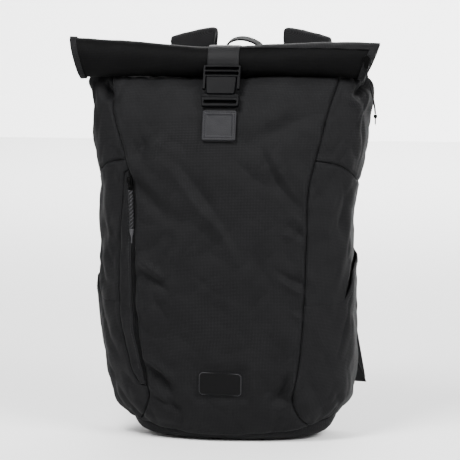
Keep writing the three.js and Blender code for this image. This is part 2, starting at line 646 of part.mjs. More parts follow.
function makeBuckle() {
  const half = BUCKLE_WIDTH / 2;
  const ladderLow = -LADDER_HEIGHT;
  const slotHeight = (LADDER_HEIGHT - 3 * RIM) / 2;
  const ladder = rectangle(-half, ladderLow, BUCKLE_WIDTH, LADDER_HEIGHT, 1.5);
  for (const low of [ladderLow + RIM, ladderLow + 2 * RIM + slotHeight]) {
    ladder.holes.push(rectangle(-half + RIM, low, BUCKLE_WIDTH - 2 * RIM, slotHeight));
  }
  const tongueLength = SOCKET_HEIGHT * 0.7;
  const tongueWidth = SOCKET_WIDTH * 0.62;
  const middle = SOCKET_THICK / 2;
  const tongueLow = middle - TONGUE_THICK / 2;
  const sink = 0.4;
  const tongue = rectangle(-tongueWidth / 2, ladderLow - tongueLength, tongueWidth, tongueLength + sink, 1);
  const armWidth = half - SOCKET_WIDTH / 2 - GAP;
  const pieces = [plate(ladder, BUCKLE_THICK), plate(tongue, TONGUE_THICK, tongueLow)];
  for (const side of [-1, 1]) {
    const inner = SOCKET_WIDTH / 2 + GAP;
    const left = side < 0 ? -inner - armWidth : inner;
    const arm = rectangle(left, ladderLow - tongueLength, armWidth, tongueLength + sink, 1);
    pieces.push(plate(arm, BUCKLE_THICK));
  }
  add('buckle_male', geometryOf(joined(...pieces)), plastic, buckleGroup);

  const socketTop = ladderLow - GAP;
  const socketLow = socketTop - SOCKET_HEIGHT;
  const body = rectangle(-SOCKET_WIDTH / 2, socketLow, SOCKET_WIDTH, SOCKET_HEIGHT, 1.5);
  const socket = plate(body, SOCKET_THICK);
  const frameLow = socketLow - FRAME_HEIGHT + 2;
  const frame = rectangle(-half, frameLow, BUCKLE_WIDTH, FRAME_HEIGHT, 2);
  const slotLow = frameLow + RIM * 1.5;
  frame.holes.push(rectangle(-half + RIM, slotLow, BUCKLE_WIDTH - 2 * RIM, SLOT_HEIGHT));
  const room = GAP * 1.4;
  const way = rectangle(
    -tongueWidth / 2 - room, ladderLow - tongueLength - room, tongueWidth + 2 * room, tongueLength + 4 * sink,
  );
  const hollow = plate(way, TONGUE_THICK + 2 * room, tongueLow - room);
  const female = joined(socket, plate(frame, BUCKLE_THICK)).subtract(solid(hollow));
  add('buckle_female', geometryOf(female), plastic, buckleGroup);
  return { frameLow, slotLow };
}

const ACROSS = new THREE.Vector3(1, 0, 0);
const flatBand = (centres, halfWidth, halfThick) => (
  sweep(centres.map((centre) => ({ centre, across: ACROSS, halfWidth, halfThick }))));

// Where the upper strap is sewn on the rear cloth
const SEWN_UP = mix(BACK_TOP, 1, 0.55);

// The upper strap is sewn on the rear cloth, crosses over the roll and hangs behind the ladder
function makeUpperStrap() {
  const lift = GAP + WEB_THICK / 2;
  const centres = [];
  for (const share of [0, 0.2, 0.4]) {
    centres.push(skinPoint(2, mix(SEWN_UP, 1, share), 0, lift + GAP));
  }
  for (let step = 2; step <= 9; step += 1) {
    const angle = rollAngle(step);
    const outward = new THREE.Vector3(0, Math.cos(angle), Math.sin(angle));
    centres.push(rollPoint(0.5, angle, 0).addScaledVector(outward, lift + 0.6 * GAP));
  }
  const behind = new THREE.Vector3(0, -strapLine.z, strapLine.y).multiplyScalar(-(GAP + WEB_THICK / 2));
  for (const drop of [1, LADDER_HEIGHT - 0.5]) {
    centres.push(buckleTop.clone().addScaledVector(strapLine, -drop).add(behind));
  }
  centres.forEach((centre) => { centre.x = 0; });
  add('closure_strap_upper', flatBand(centres, WEB_WIDTH / 2, WEB_THICK / 2), webbing);
}

// The lower strap comes out behind the buckle's frame and runs under the leather patch
function makeLowerStrap({ frameLow, slotLow }) {
  const outward = new THREE.Vector3(0, -strapLine.z, strapLine.y);
  const backLift = -(GAP + WEB_THICK / 2);
  const along = (drop) => (
    buckleTop.clone().addScaledVector(strapLine, drop).addScaledVector(outward, backLift));
  const low = frontAt(buckleTop.z + frameLow - PATCH_HEIGHT - 6);
  const foot = skinPoint(0, low.up, 0, GAP + WEB_THICK / 2);
  const bend = skinPoint(0, frontAt(buckleTop.z + frameLow - 10).up, 0, GAP + WEB_THICK / 2 + 1.2);
  const centres = [along(slotLow + SLOT_HEIGHT + 1), along(frameLow), bend, foot];
  centres.forEach((centre) => { centre.x = 0; });
  add('closure_strap_lower', flatBand(centres, WEB_WIDTH / 2 - 1, WEB_THICK / 2), webbing);

  const patchGroup = new THREE.Group();
  const line = bend.clone().sub(foot).normalize();
  patchGroup.position.copy(bend).addScaledVector(new THREE.Vector3(0, -line.z, line.y), WEB_THICK / 2 + GAP);
  patchGroup.rotation.x = Math.atan2(line.z, line.y);
  group.add(patchGroup);
  const half = PATCH_WIDTH / 2;
  const outline = plate(rectangle(-half, -PATCH_HEIGHT + 1, PATCH_WIDTH, PATCH_HEIGHT, 1.2), PATCH_THICK);
  const field = plate(rectangle(-half + PATCH_BORDER, -PATCH_HEIGHT + 1 + PATCH_BORDER,
    PATCH_WIDTH - 2 * PATCH_BORDER, PATCH_HEIGHT - 2 * PATCH_BORDER, 1), PATCH_THICK, PATCH_THICK * 0.72);
  add('strap_patch', geometryOf(solid(outline).subtract(solid(field))), leather, patchGroup);
}

// The label lies on the front panel as a thin plate that bends with it
function makeLabel() {
  const at = (proud) => (across, rise) => {
    const height = LABEL_UP + (rise - 0.5) * LABEL_HEIGHT;
    const { up } = frontAt(height);
    const x = (across - 0.5) * LABEL_WIDTH + LABEL_ASIDE;
    return skinPoint(aroundAt(x, up), up, 0, proud);
  };
  add('label_patch', slab(grid(4, 8, at(GAP * 2 + LABEL_THICK)), grid(4, 8, at(GAP * 2))), darkNylon);
}

function tube(points, width, steps, sides = 8) {
  const section = new THREE.Shape(Array.from({ length: sides }, (_, index) => {
    const angle = 2 * Math.PI * index / sides;
    return new THREE.Vector2(Math.cos(angle), Math.sin(angle)).multiplyScalar(width / 2);
  }));
  const curve = new THREE.CatmullRomCurve3(points);
  return new THREE.ExtrudeGeometry(section, { steps, bevelEnabled: false, extrudePath: curve });
}

// The front pocket's slider at the top of its zip, and its braided pull that hangs down the seam
function makeFrontPull() {
  const outAt = (height, proud, aside = 0) => {
    const { up } = frontAt(height);
    const across = seamAcross(-1, up) - ZIP_WIDTH / 2 + aside;
    return skinPoint(aroundAt(across, up), up, 0, proud);
  };
  const sliderLow = SLIDER_UP - SLIDER_LENGTH;
  const proud = GAP + SLIDER_THICK / 2 + 0.6;
  const slider = sweep([SLIDER_UP, mix(SLIDER_UP, sliderLow, 0.5), sliderLow].map((height) => ({
    centre: outAt(height, proud),
    across: outAt(height, proud, 2).sub(outAt(height, proud, -2)).normalize(),
    halfWidth: SLIDER_WIDTH / 2,
    halfThick: SLIDER_THICK / 2,
  })));
  add('front_zip_slider', slider, metal);
  const pullTop = sliderLow - 2 * GAP;
  const pullLift = PULL_WIDTH / 2 + 1.4;
  const route = [0, 0.34, 0.67, 1].map((share) => outAt(pullTop - share * PULL_LENGTH, pullLift));
  add('front_zip_cord', tube(route, PULL_WIDTH, 8), webbing);
  const tip = new THREE.LatheGeometry([
    new THREE.Vector2(0, 0),
    new THREE.Vector2(PULL_WIDTH * 0.46, 0),
    new THREE.Vector2(PULL_WIDTH * 0.34, -TAIL_LENGTH * 0.35),
    new THREE.Vector2(PULL_WIDTH * 0.14, -TAIL_LENGTH * 0.6),
    new THREE.Vector2(PULL_WIDTH * 0.12, -TAIL_LENGTH),
    new THREE.Vector2(0, -TAIL_LENGTH),
  ].reverse(), 8);
  const mesh = add('front_zip_tip', tip, webbing);
  mesh.position.copy(route[route.length - 1]);
  mesh.position.z -= 1.5 * GAP;
  mesh.rotation.x = quarter;
}

// A second slider at the roll's right end, with a thin pull that ends in a bead
function makeTopPull() {
  const rollEnd = rollPoint(0.985, Math.PI, 0);
  const outline = rectangle(-SLIDER_WIDTH / 2, -SLIDER_LENGTH, SLIDER_WIDTH, SLIDER_LENGTH, 1.5);
  const slider = plate(outline, SLIDER_THICK);
  const mesh = add('top_zip_slider', slider, metal);
  mesh.rotation.x = quarter;
  mesh.position.set(rollEnd.x - SLIDER_WIDTH / 2, rollEnd.y - GAP * 2.5, rollEnd.z + SLIDER_LENGTH / 2);
  const start = mesh.position.clone();
  start.y -= SLIDER_THICK / 2;
  start.z -= SLIDER_LENGTH + GAP;
  const route = [[0, 0, 0], [1.5, 0, -12], [6, 0, -27], [9, 0, -40], [10.5, 0, -52]];
  const points = route.map((place) => start.clone().add(new THREE.Vector3(...place)));
  add('top_zip_cord', tube(points, THIN_PULL, 10), webbing);
  const bead = new THREE.LatheGeometry([
    new THREE.Vector2(0, 0),
    new THREE.Vector2(BEAD_WIDTH * 0.36, 0),
    new THREE.Vector2(BEAD_WIDTH * 0.5, -BEAD_WIDTH * 0.4),
    new THREE.Vector2(BEAD_WIDTH * 0.4, -BEAD_WIDTH * 0.9),
    new THREE.Vector2(THIN_PULL * 0.4, -BEAD_WIDTH),
    new THREE.Vector2(THIN_PULL * 0.3, -TAIL_LENGTH * 0.7),
    new THREE.Vector2(0, -TAIL_LENGTH * 0.7),
  ].reverse(), 8);
  const tip = add('top_zip_tip', bead, webbing);
  tip.position.copy(points[points.length - 1]);
  tip.position.z -= GAP + 0.1;
  tip.rotation.x = quarter;
}

// Two long pads on the back wall, with a channel between them
function makeBackPads() {
  for (const [side, name] of [[-1, 'left'], [1, 'right']]) {
    const face = (level) => (across, rise) => {
      const height = mix(PAD_LOW, PAD_HIGH, rise);
      const up = height / BODY_HEIGHT;
      const aside = 2 * across - 1;
      const along = 2 * rise - 1;
      const crown = (1 - aside ** 4) * (1 - along ** 12);
      const taper = 1 - 0.06 * along * along - 0.12 * (along ** 8);
      const x = side * PAD_SPREAD + aside * PAD_WIDTH / 2 * taper;
      const proud = GAP + level * PAD_THICK * mix(PAD_EDGE, 1, crown);
      return skinPoint(aroundAt(x, up, true), up, 0, proud);
    };
    add(`back_pad_${name}`, slab(grid(10, 6, face(1)), grid(10, 6, face(0))), paddedMesh);
  }
}

// A shoulder strap's middle line. across is a share of HALF_WIDTH, out of STRAP_STAND behind the back wall,
// up of STRAP_CREST, wide of STRAP_WIDTH and thick of STRAP_THICK.
const STRAP_STATIONS = [
  { across: 0.45, out: 0.00, up: 0.790, wide: 0.90, thick: 0.50 },
  { across: 0.45, out: 0.00, up: 0.815, wide: 0.90, thick: 0.55 },
  { across: 0.45, out: 0.12, up: 0.870, wide: 0.92, thick: 0.75 },
  { across: 0.455, out: 0.22, up: 0.935, wide: 0.95, thick: 0.90 },
  { across: 0.46, out: 0.34, up: 0.970, wide: 0.97, thick: 1.00 },
  { across: 0.465, out: 0.56, up: 0.990, wide: 1.00, thick: 1.00 },
  { across: 0.47, out: 0.78, up: 0.978, wide: 1.00, thick: 1.00 },
  { across: 0.48, out: 0.92, up: 0.935, wide: 1.00, thick: 1.00 },
  { across: 0.50, out: 0.98, up: 0.850, wide: 1.00, thick: 1.00 },
  { across: 0.54, out: 0.96, up: 0.740, wide: 1.00, thick: 1.00 },
  { across: 0.60, out: 0.88, up: 0.620, wide: 0.96, thick: 1.00 },
  { across: 0.67, out: 0.74, up: 0.510, wide: 0.86, thick: 0.95 },
  { across: 0.71, out: 0.64, up: 0.440, wide: 0.72, thick: 0.80 },
];
const STRAP_SHIFT = 8;
const CREST_TILT = THREE.MathUtils.degToRad(13);

// How far back the padded wall reaches at a height; above its top it counts as the top
function wallBack(height) {
  const up = Math.min(height / BODY_HEIGHT, BACK_TOP - 0.01);
  return skinPoint(2, up).y;
}

// A strap is sewn flat on the wall where out is none, and stands off the wall's face elsewhere
function strapCentre(side, row) {
  const height = row.up * STRAP_CREST;
  const sewn = wallBack(height) + GAP + row.thick * STRAP_THICK / 2;
  return new THREE.Vector3(
    side * row.across * HALF_WIDTH + STRAP_SHIFT,
    row.out > 0 ? BACK_DEPTH + row.out * STRAP_STAND : sewn,
    height,
  );
}

function makeHarness() {
  for (const [side, name] of [[-1, 'left'], [1, 'right']]) {
    const stations = STRAP_STATIONS.map((row) => ({
      centre: strapCentre(side, row),
      across: new THREE.Vector3(Math.cos(CREST_TILT), 0, -side * Math.sin(CREST_TILT)),
      halfWidth: row.wide * STRAP_WIDTH / 2,
      halfThick: row.thick * STRAP_THICK / 2,
    }));
    add(`shoulder_strap_${name}`, sweep(stations, 12), paddedMesh);

    const end = stations[stations.length - 1].centre;
    const before = stations[stations.length - 2].centre;
    const down = end.clone().sub(before).normalize();
    const across = new THREE.Vector3(1, 0, 0).addScaledVector(down, -down.x).normalize();
    const wing = wingFrame(side);
    const webEnd = wing.root.clone().lerp(wing.tip, 0.55);
    webEnd.y += CLOTH / 2 + GAP * 2.2 + WEB_THICK / 2;
    webEnd.z = WING_LOW + 12;
    const lockTop = end.clone().addScaledVector(down, GAP);
    const lockLow = lockTop.clone().addScaledVector(down, LOCK_HEIGHT);
    const out = down.clone().cross(across);
    const lock = makeLock();
    const lockMesh = add(`strap_lock_${name}`, lock, plastic);
    lockMesh.matrixAutoUpdate = false;
    lockMesh.matrix.makeBasis(across, down.clone().negate(), across.clone().cross(down.clone().negate()));
    lockMesh.matrix.setPosition(lockTop);
    lockMesh.matrixWorldNeedsUpdate = true;

    const webShift = out.clone().multiplyScalar(LOCK_THICK / 2 + GAP + WEB_THICK / 2);
    const webTop = lockTop.clone().lerp(lockLow, 0.35).add(webShift);
    const webLow = lockLow.clone().add(webShift);
    const middle = webLow.clone().lerp(webEnd, 0.5);
    middle.y -= 2;
    middle.z -= 8;
    const alongWing = wing.tip.clone().sub(wing.root).setZ(0).multiplyScalar(side).normalize();
    const bands = [[webTop, ACROSS], [webLow, ACROSS], [middle, ACROSS], [webEnd, alongWing]];
    add(`strap_webbing_${name}`, sweep(bands.map(([centre, direction]) => (
      { centre, across: direction, halfWidth: NARROW_WEB / 2, halfThick: WEB_THICK / 2 }))), webbing);
    makeWing(wing, name);
  }
}

// A ladder lock: a frame with two bars, lying with its length down its own -Y
function makeLock() {
  const half = NARROW_WEB / 2 + RIM;
  const frame = rectangle(-half, -LOCK_HEIGHT, 2 * half, LOCK_HEIGHT, 2);
  const slotHeight = (LOCK_HEIGHT - 3 * RIM) / 2;
  for (const low of [-LOCK_HEIGHT + RIM, -LOCK_HEIGHT + 2 * RIM + slotHeight]) {
    frame.holes.push(rectangle(-half + RIM, low, 2 * half - 2 * RIM, slotHeight));
  }
  return plate(frame, LOCK_THICK, -LOCK_THICK / 2);
}

// Where a wing's root lies on the back side seam, and where its tip stands out beside it
function wingFrame(side) {
  const rootAt = (height) => {
    const up = height / BODY_HEIGHT;
    const around = aroundAt(backAcross(side, up), up, true);
    return skinPoint(around, up, 0, GAP + CLOTH / 2);
  };
  const tip = new THREE.Vector3(side * WING_REACH, WING_BACK, WING_LOW + 8);
  return { root: rootAt(WING_LOW), rootHigh: rootAt(WING_HIGH), tip, side };
}

// A triangular wing of cloth, sewn in the back side seam, that carries the lower webbing
function makeWing({ root, rootHigh, tip, side }, name) {
  const tipHigh = tip.clone().add(new THREE.Vector3(-4 * side, 0, 12));
  const face = (shift) => [[root, tip], [rootHigh, tipHigh]].map((row) => (
    row.map((point) => point.clone().add(new THREE.Vector3(0, shift, 0)))));
  add(`strap_wing_${name}`, slab(face(CLOTH / 2), face(-CLOTH / 2)), blackNylon);
}

// The haul handle is a webbing loop sewn flat on the back wall between the shoulder straps.
// across is a share of HALF_WIDTH, up of HANDLE_CREST, and turn is how far the band has twisted, in degrees.
const HANDLE_STATIONS = [
  { across: -0.135, up: 0.797, turn: 0 },
  { across: -0.135, up: 0.828, turn: 0 },
  { across: -0.135, up: 0.862, turn: 12 },
  { across: -0.140, up: 0.915, turn: 60 },
  { across: -0.130, up: 0.955, turn: 84 },
  { across: -0.090, up: 0.988, turn: 90 },
  { across: -0.020, up: 1.000, turn: 90 },
  { across: 0.075, up: 0.998, turn: 90 },
  { across: 0.170, up: 0.982, turn: 90 },
  { across: 0.222, up: 0.950, turn: 96 },
  { across: 0.240, up: 0.905, turn: 125 },
  { across: 0.238, up: 0.862, turn: 168 },
  { across: 0.238, up: 0.828, turn: 180 },
  { across: 0.238, up: 0.797, turn: 180 },
];

function makeHandle() {
  add('haul_handle', sweep(HANDLE_STATIONS.map((row) => {
    const turn = THREE.MathUtils.degToRad(row.turn);
    const height = row.up * HANDLE_CREST;
    const y = wallBack(height) + GAP + HANDLE_THICK / 2 + Math.sin(turn) * HANDLE_WIDTH / 2;
    return {
      centre: new THREE.Vector3(row.across * HALF_WIDTH, y, height),
      across: new THREE.Vector3(Math.cos(turn), Math.sin(turn), 0),
      halfWidth: HANDLE_WIDTH / 2,
      halfThick: HANDLE_THICK / 2,
    };
  })), webbing);
}

makeFront();
makeZipStrip();
makeSides();
makeBack();
makeBase();
makeRoll();
makeUpperStrap();
makeLowerStrap(makeBuckle());
makeLabel();
makeFrontPull();
makeTopPull();
makeBackPads();
makeHarness();
makeHandle();

export default group;
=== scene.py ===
# %% [markdown]
# # A black rolltop backpack
# This notebook dresses a CAD model of a small rolltop daypack. The CAD model is the frame: it fixes every
# size and place. Each piece of cloth, webbing and plastic is made again here with its folds, seams and
# finish, and then stands for its CAD solid. Lengths in the tables are millimetres, because that is how a
# bag maker thinks, and they become metres only when a mesh is made.

# %% Load the frame and keep its box
import math
import bmesh
import bpy
import numpy as np
from mathutils import Matrix, Vector


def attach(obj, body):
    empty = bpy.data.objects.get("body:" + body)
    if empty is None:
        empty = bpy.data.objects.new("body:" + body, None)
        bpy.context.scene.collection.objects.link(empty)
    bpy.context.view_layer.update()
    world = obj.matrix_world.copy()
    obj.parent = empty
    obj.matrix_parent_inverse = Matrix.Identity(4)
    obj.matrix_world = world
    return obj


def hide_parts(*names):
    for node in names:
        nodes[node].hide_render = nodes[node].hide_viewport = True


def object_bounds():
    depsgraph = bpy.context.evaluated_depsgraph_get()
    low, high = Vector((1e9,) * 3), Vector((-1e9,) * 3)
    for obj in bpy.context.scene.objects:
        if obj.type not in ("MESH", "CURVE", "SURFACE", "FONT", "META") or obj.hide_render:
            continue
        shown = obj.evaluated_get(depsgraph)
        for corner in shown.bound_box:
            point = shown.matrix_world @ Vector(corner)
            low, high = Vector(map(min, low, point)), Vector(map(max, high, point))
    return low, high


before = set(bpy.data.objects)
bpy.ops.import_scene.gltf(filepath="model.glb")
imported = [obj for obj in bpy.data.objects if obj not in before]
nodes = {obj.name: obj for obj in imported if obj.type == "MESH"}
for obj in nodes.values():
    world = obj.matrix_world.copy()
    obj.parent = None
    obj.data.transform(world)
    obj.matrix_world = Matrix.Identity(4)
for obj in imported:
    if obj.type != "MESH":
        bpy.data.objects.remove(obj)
cad_box = [list(corner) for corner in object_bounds()]
print("frame:", len(nodes), "solids, box", [[round(value, 3) for value in corner] for corner in cad_box])

# %% [markdown]
# ## The camera
# A product photograph like this is taken with a long lens from a few metres, so verticals stay nearly
# parallel. The camera stands 9 degrees to the right of straight ahead and 6 degrees above the horizon.
# It comes first.

# %% A long lens, three metres away
MM = 0.001
target = Vector((0.002, 0.0, 0.242))
azimuth, elevation, distance = math.radians(9.0), math.radians(6.0), 3.0


def put(name, data):
    """A new object at the origin, in the scene."""
    made = bpy.data.objects.new(name, data)
    bpy.context.scene.collection.objects.link(made)
    return made


def point_at(made, place, way):
    """Puts a camera or a light at a place, in metres, so that it looks along a way."""
    made.location = place
    made.rotation_mode = "QUATERNION"
    made.rotation_quaternion = way.to_track_quat("-Z", "Y")


level = math.cos(elevation)
away = Vector((math.sin(azimuth) * level, -math.cos(azimuth) * level, math.sin(elevation)))
camera = put("camera", bpy.data.cameras.new("camera"))
point_at(camera, target + away * distance, -away)
camera.data.sensor_width = 36.0
camera.data.lens = 197.9
camera.data.clip_start, camera.data.clip_end = 0.1, 50.0
bpy.context.scene.camera = camera
print("camera", [round(value, 3) for value in camera.location], "lens", camera.data.lens)

# %% [markdown]
# ## The bag's skin as one function
# A sewn bag isn't a box: its cross-section changes from a small base to a wide mouth. Here a table gives the
# section at fourteen heights and a smooth curve runs through its rows. A place on the skin is two numbers:
# how far round the bag (0 is the front's middle, 1 the right side, 2 the back's middle, minus for the left)
# and how far up (0 at the base seam, 1 at the mouth). Every panel, seam and stitch is placed with them.

# %% Sizes of the body
BODY_HEIGHT, HALF_WIDTH, FRONT_DEPTH, BACK_DEPTH = 433.0, 150.0, 83.0, 78.0
CLOTH, GAP, CORNER_RISE = 2.0, 0.35, 0.037 * BODY_HEIGHT
FRONT_ROUNDNESS, BACK_ROUNDNESS, WIDEST, BACK_SEAM = 2.4, 4.5, 0.44, 0.88
GIRTH_PER_QUARTER = 1.25 * HALF_WIDTH
SECTION_COLUMNS = ("up", "left", "right", "front", "back", "front_up", "back_up", "seam_left", "seam_right")
SECTIONS = np.array([
    (0.000, 0.750, 0.868, 0.790, 0.820, 0.021, 0.040, 0.650, 0.690),
    (0.040, 0.845, 0.938, 0.880, 0.900, 0.060, 0.070, 0.600, 0.620),
    (0.100, 0.897, 0.975, 0.925, 0.970, 0.118, 0.122, 0.555, 0.575),
    (0.200, 0.960, 0.998, 0.972, 1.000, 0.215, 0.215, 0.600, 0.625),
    (0.320, 0.985, 0.990, 0.992, 1.000, 0.330, 0.330, 0.650, 0.655),
    (0.450, 0.990, 0.982, 1.000, 1.000, 0.455, 0.455, 0.662, 0.675),
    (0.570, 0.990, 0.966, 0.980, 1.000, 0.570, 0.570, 0.662, 0.682),
    (0.680, 0.990, 1.003, 0.945, 1.000, 0.680, 0.680, 0.680, 0.690),
    (0.770, 1.032, 1.052, 0.890, 1.000, 0.765, 0.765, 0.745, 0.745),
    (0.860, 1.088, 1.090, 0.770, 0.990, 0.860, 0.850, 0.840, 0.805),
    (0.920, 1.090, 1.120, 0.640, 0.960, 0.915, 0.915, 0.880, 0.845),
    (0.960, 1.090, 1.120, 0.500, 0.800, 0.955, 0.958, 0.895, 0.880),
    (0.985, 1.060, 1.080, 0.330, 0.360, 0.972, 0.982, 0.900, 0.890),
    (1.000, 1.020, 1.030, 0.160, -0.060, 0.976, 1.000, 0.900, 0.890),
])


def read_rows(rows, column, place):
    """A column of a table at places between its rows, on a smooth curve through them."""
    keys, values = rows[:, 0], rows[:, column]
    place = np.asarray(place, float)
    last = len(keys) - 1
    row = np.clip(np.searchsorted(keys, place) - 1, 0, last - 1)
    before, after = np.maximum(np.arange(last + 1) - 1, 0), np.minimum(np.arange(last + 1) + 1, last)
    slope = (values[after] - values[before]) / (keys[after] - keys[before])
    span = keys[row + 1] - keys[row]
    t = np.clip((place - keys[row]) / span, 0, 1)
    return (values[row] * (1 + 2 * t) * (1 - t) ** 2 + slope[row] * span * t * (1 - t) ** 2
            + values[row + 1] * t ** 2 * (3 - 2 * t) + slope[row + 1] * span * t ** 2 * (t - 1))


def section(column, up):
    return read_rows(SECTIONS, SECTION_COLUMNS.index(column), up)


def smooth(low, high, value):
    share = np.clip((value - low) / (high - low), 0, 1)
    return share * share * (3 - 2 * share)


def mix(low, high, share):
    return low + (high - low) * share


def signed_power(value, power):
    return np.sign(value) * np.abs(value) ** power


print("section half widths up the bag:", np.round(section("left", np.linspace(0, 1, 6)) * HALF_WIDTH, 1))


# %% Points and outward directions of the skin
def plain_point(around, up):
    """Points of the skin without its folds, in millimetres."""
    around, up = np.broadcast_arrays(np.asarray(around, float), np.asarray(up, float))
    front_y, front_z = -section("front", up) * FRONT_DEPTH, section("front_up", up) * BODY_HEIGHT
    back_y, back_z = section("back", up) * BACK_DEPTH, section("back_up", up) * BODY_HEIGHT
    depth = np.hypot(back_y - front_y, back_z - front_z)
    angle = around * math.pi / 2
    is_front = np.abs(around) < 1
    power = np.where(is_front, 2 / FRONT_ROUNDNESS, 2 / BACK_ROUNDNESS)
    middle = depth * WIDEST
    into = (middle - np.where(is_front, middle, depth - middle) * signed_power(np.cos(angle), power)) / depth
    half = np.where(around < 0, section("left", up), section("right", up)) * HALF_WIDTH
    x = half * signed_power(np.sin(angle), power)
    y = front_y + (back_y - front_y) * into
    z = front_z + (back_z - front_z) * into + CORNER_RISE * np.sin(angle) ** 2 * (1 - smooth(0, 0.14, up))
    return np.stack([x, y, z], -1)


def unit(vectors):
    return vectors / np.maximum(np.linalg.norm(vectors, axis=-1, keepdims=True), 1e-9)


def outward_at(around, up):
    """Unit directions straight out of the skin, from points a little way to each side."""
    low, high = np.clip(up - 0.006, 0, 1), np.clip(up + 0.006, 0, 1)
    along = plain_point(around + 0.012, up) - plain_point(around - 0.012, up)
    return unit(np.cross(along, plain_point(around, high) - plain_point(around, low)))


def around_at(across, up, on_back=False):
    """The place round the bag of a distance across it, on the front or the back."""
    across, up = np.broadcast_arrays(np.asarray(across, float), np.asarray(up, float))
    half = np.where(across < 0, section("left", up), section("right", up)) * HALF_WIDTH
    roundness = BACK_ROUNDNESS if on_back else FRONT_ROUNDNESS
    share = np.arcsin(np.clip(np.abs(across) / half, 0, 1) ** (roundness / 2)) / (math.pi / 2)
    return np.where(across < 0, -1, 1) * (2 - share if on_back else share)


def seam_across(side, up):
    """How far across the front its seam with a side is."""
    return side * section("seam_left" if side < 0 else "seam_right", up) * HALF_WIDTH


def back_across(side, up):
    """How far across the back its seam with a side is."""
    return side * BACK_SEAM * section("left" if side < 0 else "right", up) * HALF_WIDTH


def up_at(height):
    """The place on the way up where the skin's front middle has a height."""
    low, high = np.zeros_like(np.asarray(height, float)), np.ones_like(np.asarray(height, float))
    for _ in range(20):
        middle = (low + high) / 2
        above = plain_point(0.0, middle)[..., 2] > height
        low, high = np.where(above, low, middle), np.where(above, middle, high)
    return (low + high) / 2


print("front's middle at half height:", np.round(plain_point(0.0, 0.5), 1))

# %% [markdown]
# ## Folds in the cloth
# Nylon on a lightly filled bag bends in long soft creases that start at seams and corners, where the cloth
# is held, and fade towards the middle. A crease here is a line across the bag's front with a width and a
# rise. It lifts or sinks the skin with a bell-shaped profile that dies away at both ends. Between them the
# cloth breaks into flat facets, and a little smooth noise, always from the same seed, keeps the flat parts
# from looking like metal.

# %% The main folds, as the frame has them
# Columns: place round, place up, lean in degrees, then length, width and rise in millimetres
FOLDS = np.array([
    (-0.33, 0.66, 48, 62, 9, -3.4), (-0.36, 0.72, 42, 50, 9, 2.6), (-0.54, 0.77, -38, 26, 7, -3.0),
    (0.36, 0.72, 32, 40, 8, 2.8), (0.48, 0.69, 30, 34, 8, -2.8), (-0.36, 0.43, 66, 26, 8, -2.4),
    (0.44, 0.42, 50, 28, 8, -2.6), (-0.30, 0.16, 52, 34, 9, -3.2), (0.34, 0.11, -48, 32, 9, -3.0),
    (0.20, 0.84, -70, 44, 9, -1.8), (-0.92, 0.90, 24, 30, 15, -9.0), (0.95, 0.88, -26, 34, 15, -9.0),
    (0.80, 0.60, 20, 44, 14, -4.0), (-0.82, 0.50, -16, 50, 14, -3.0),
])


def fold_rise(around, up):
    rise = np.zeros(np.broadcast(around, up).shape)
    for place, height, lean, long, wide, lift in FOLDS:
        lean = math.radians(lean)
        across_fold = (around - place) * GIRTH_PER_QUARTER
        up_fold = (up - height) * BODY_HEIGHT
        along = (-across_fold * math.sin(lean) + up_fold * math.cos(lean)) / long
        aside = (across_fold * math.cos(lean) + up_fold * math.sin(lean)) / wide
        rise += lift * np.exp(-aside ** 2) * (1 - np.clip(along, -1, 1) ** 2) ** 2
    return rise


print("main folds:", len(FOLDS))

# %% Small creases by their lines on the front, and soft noise
FRONT_ONLY = 10
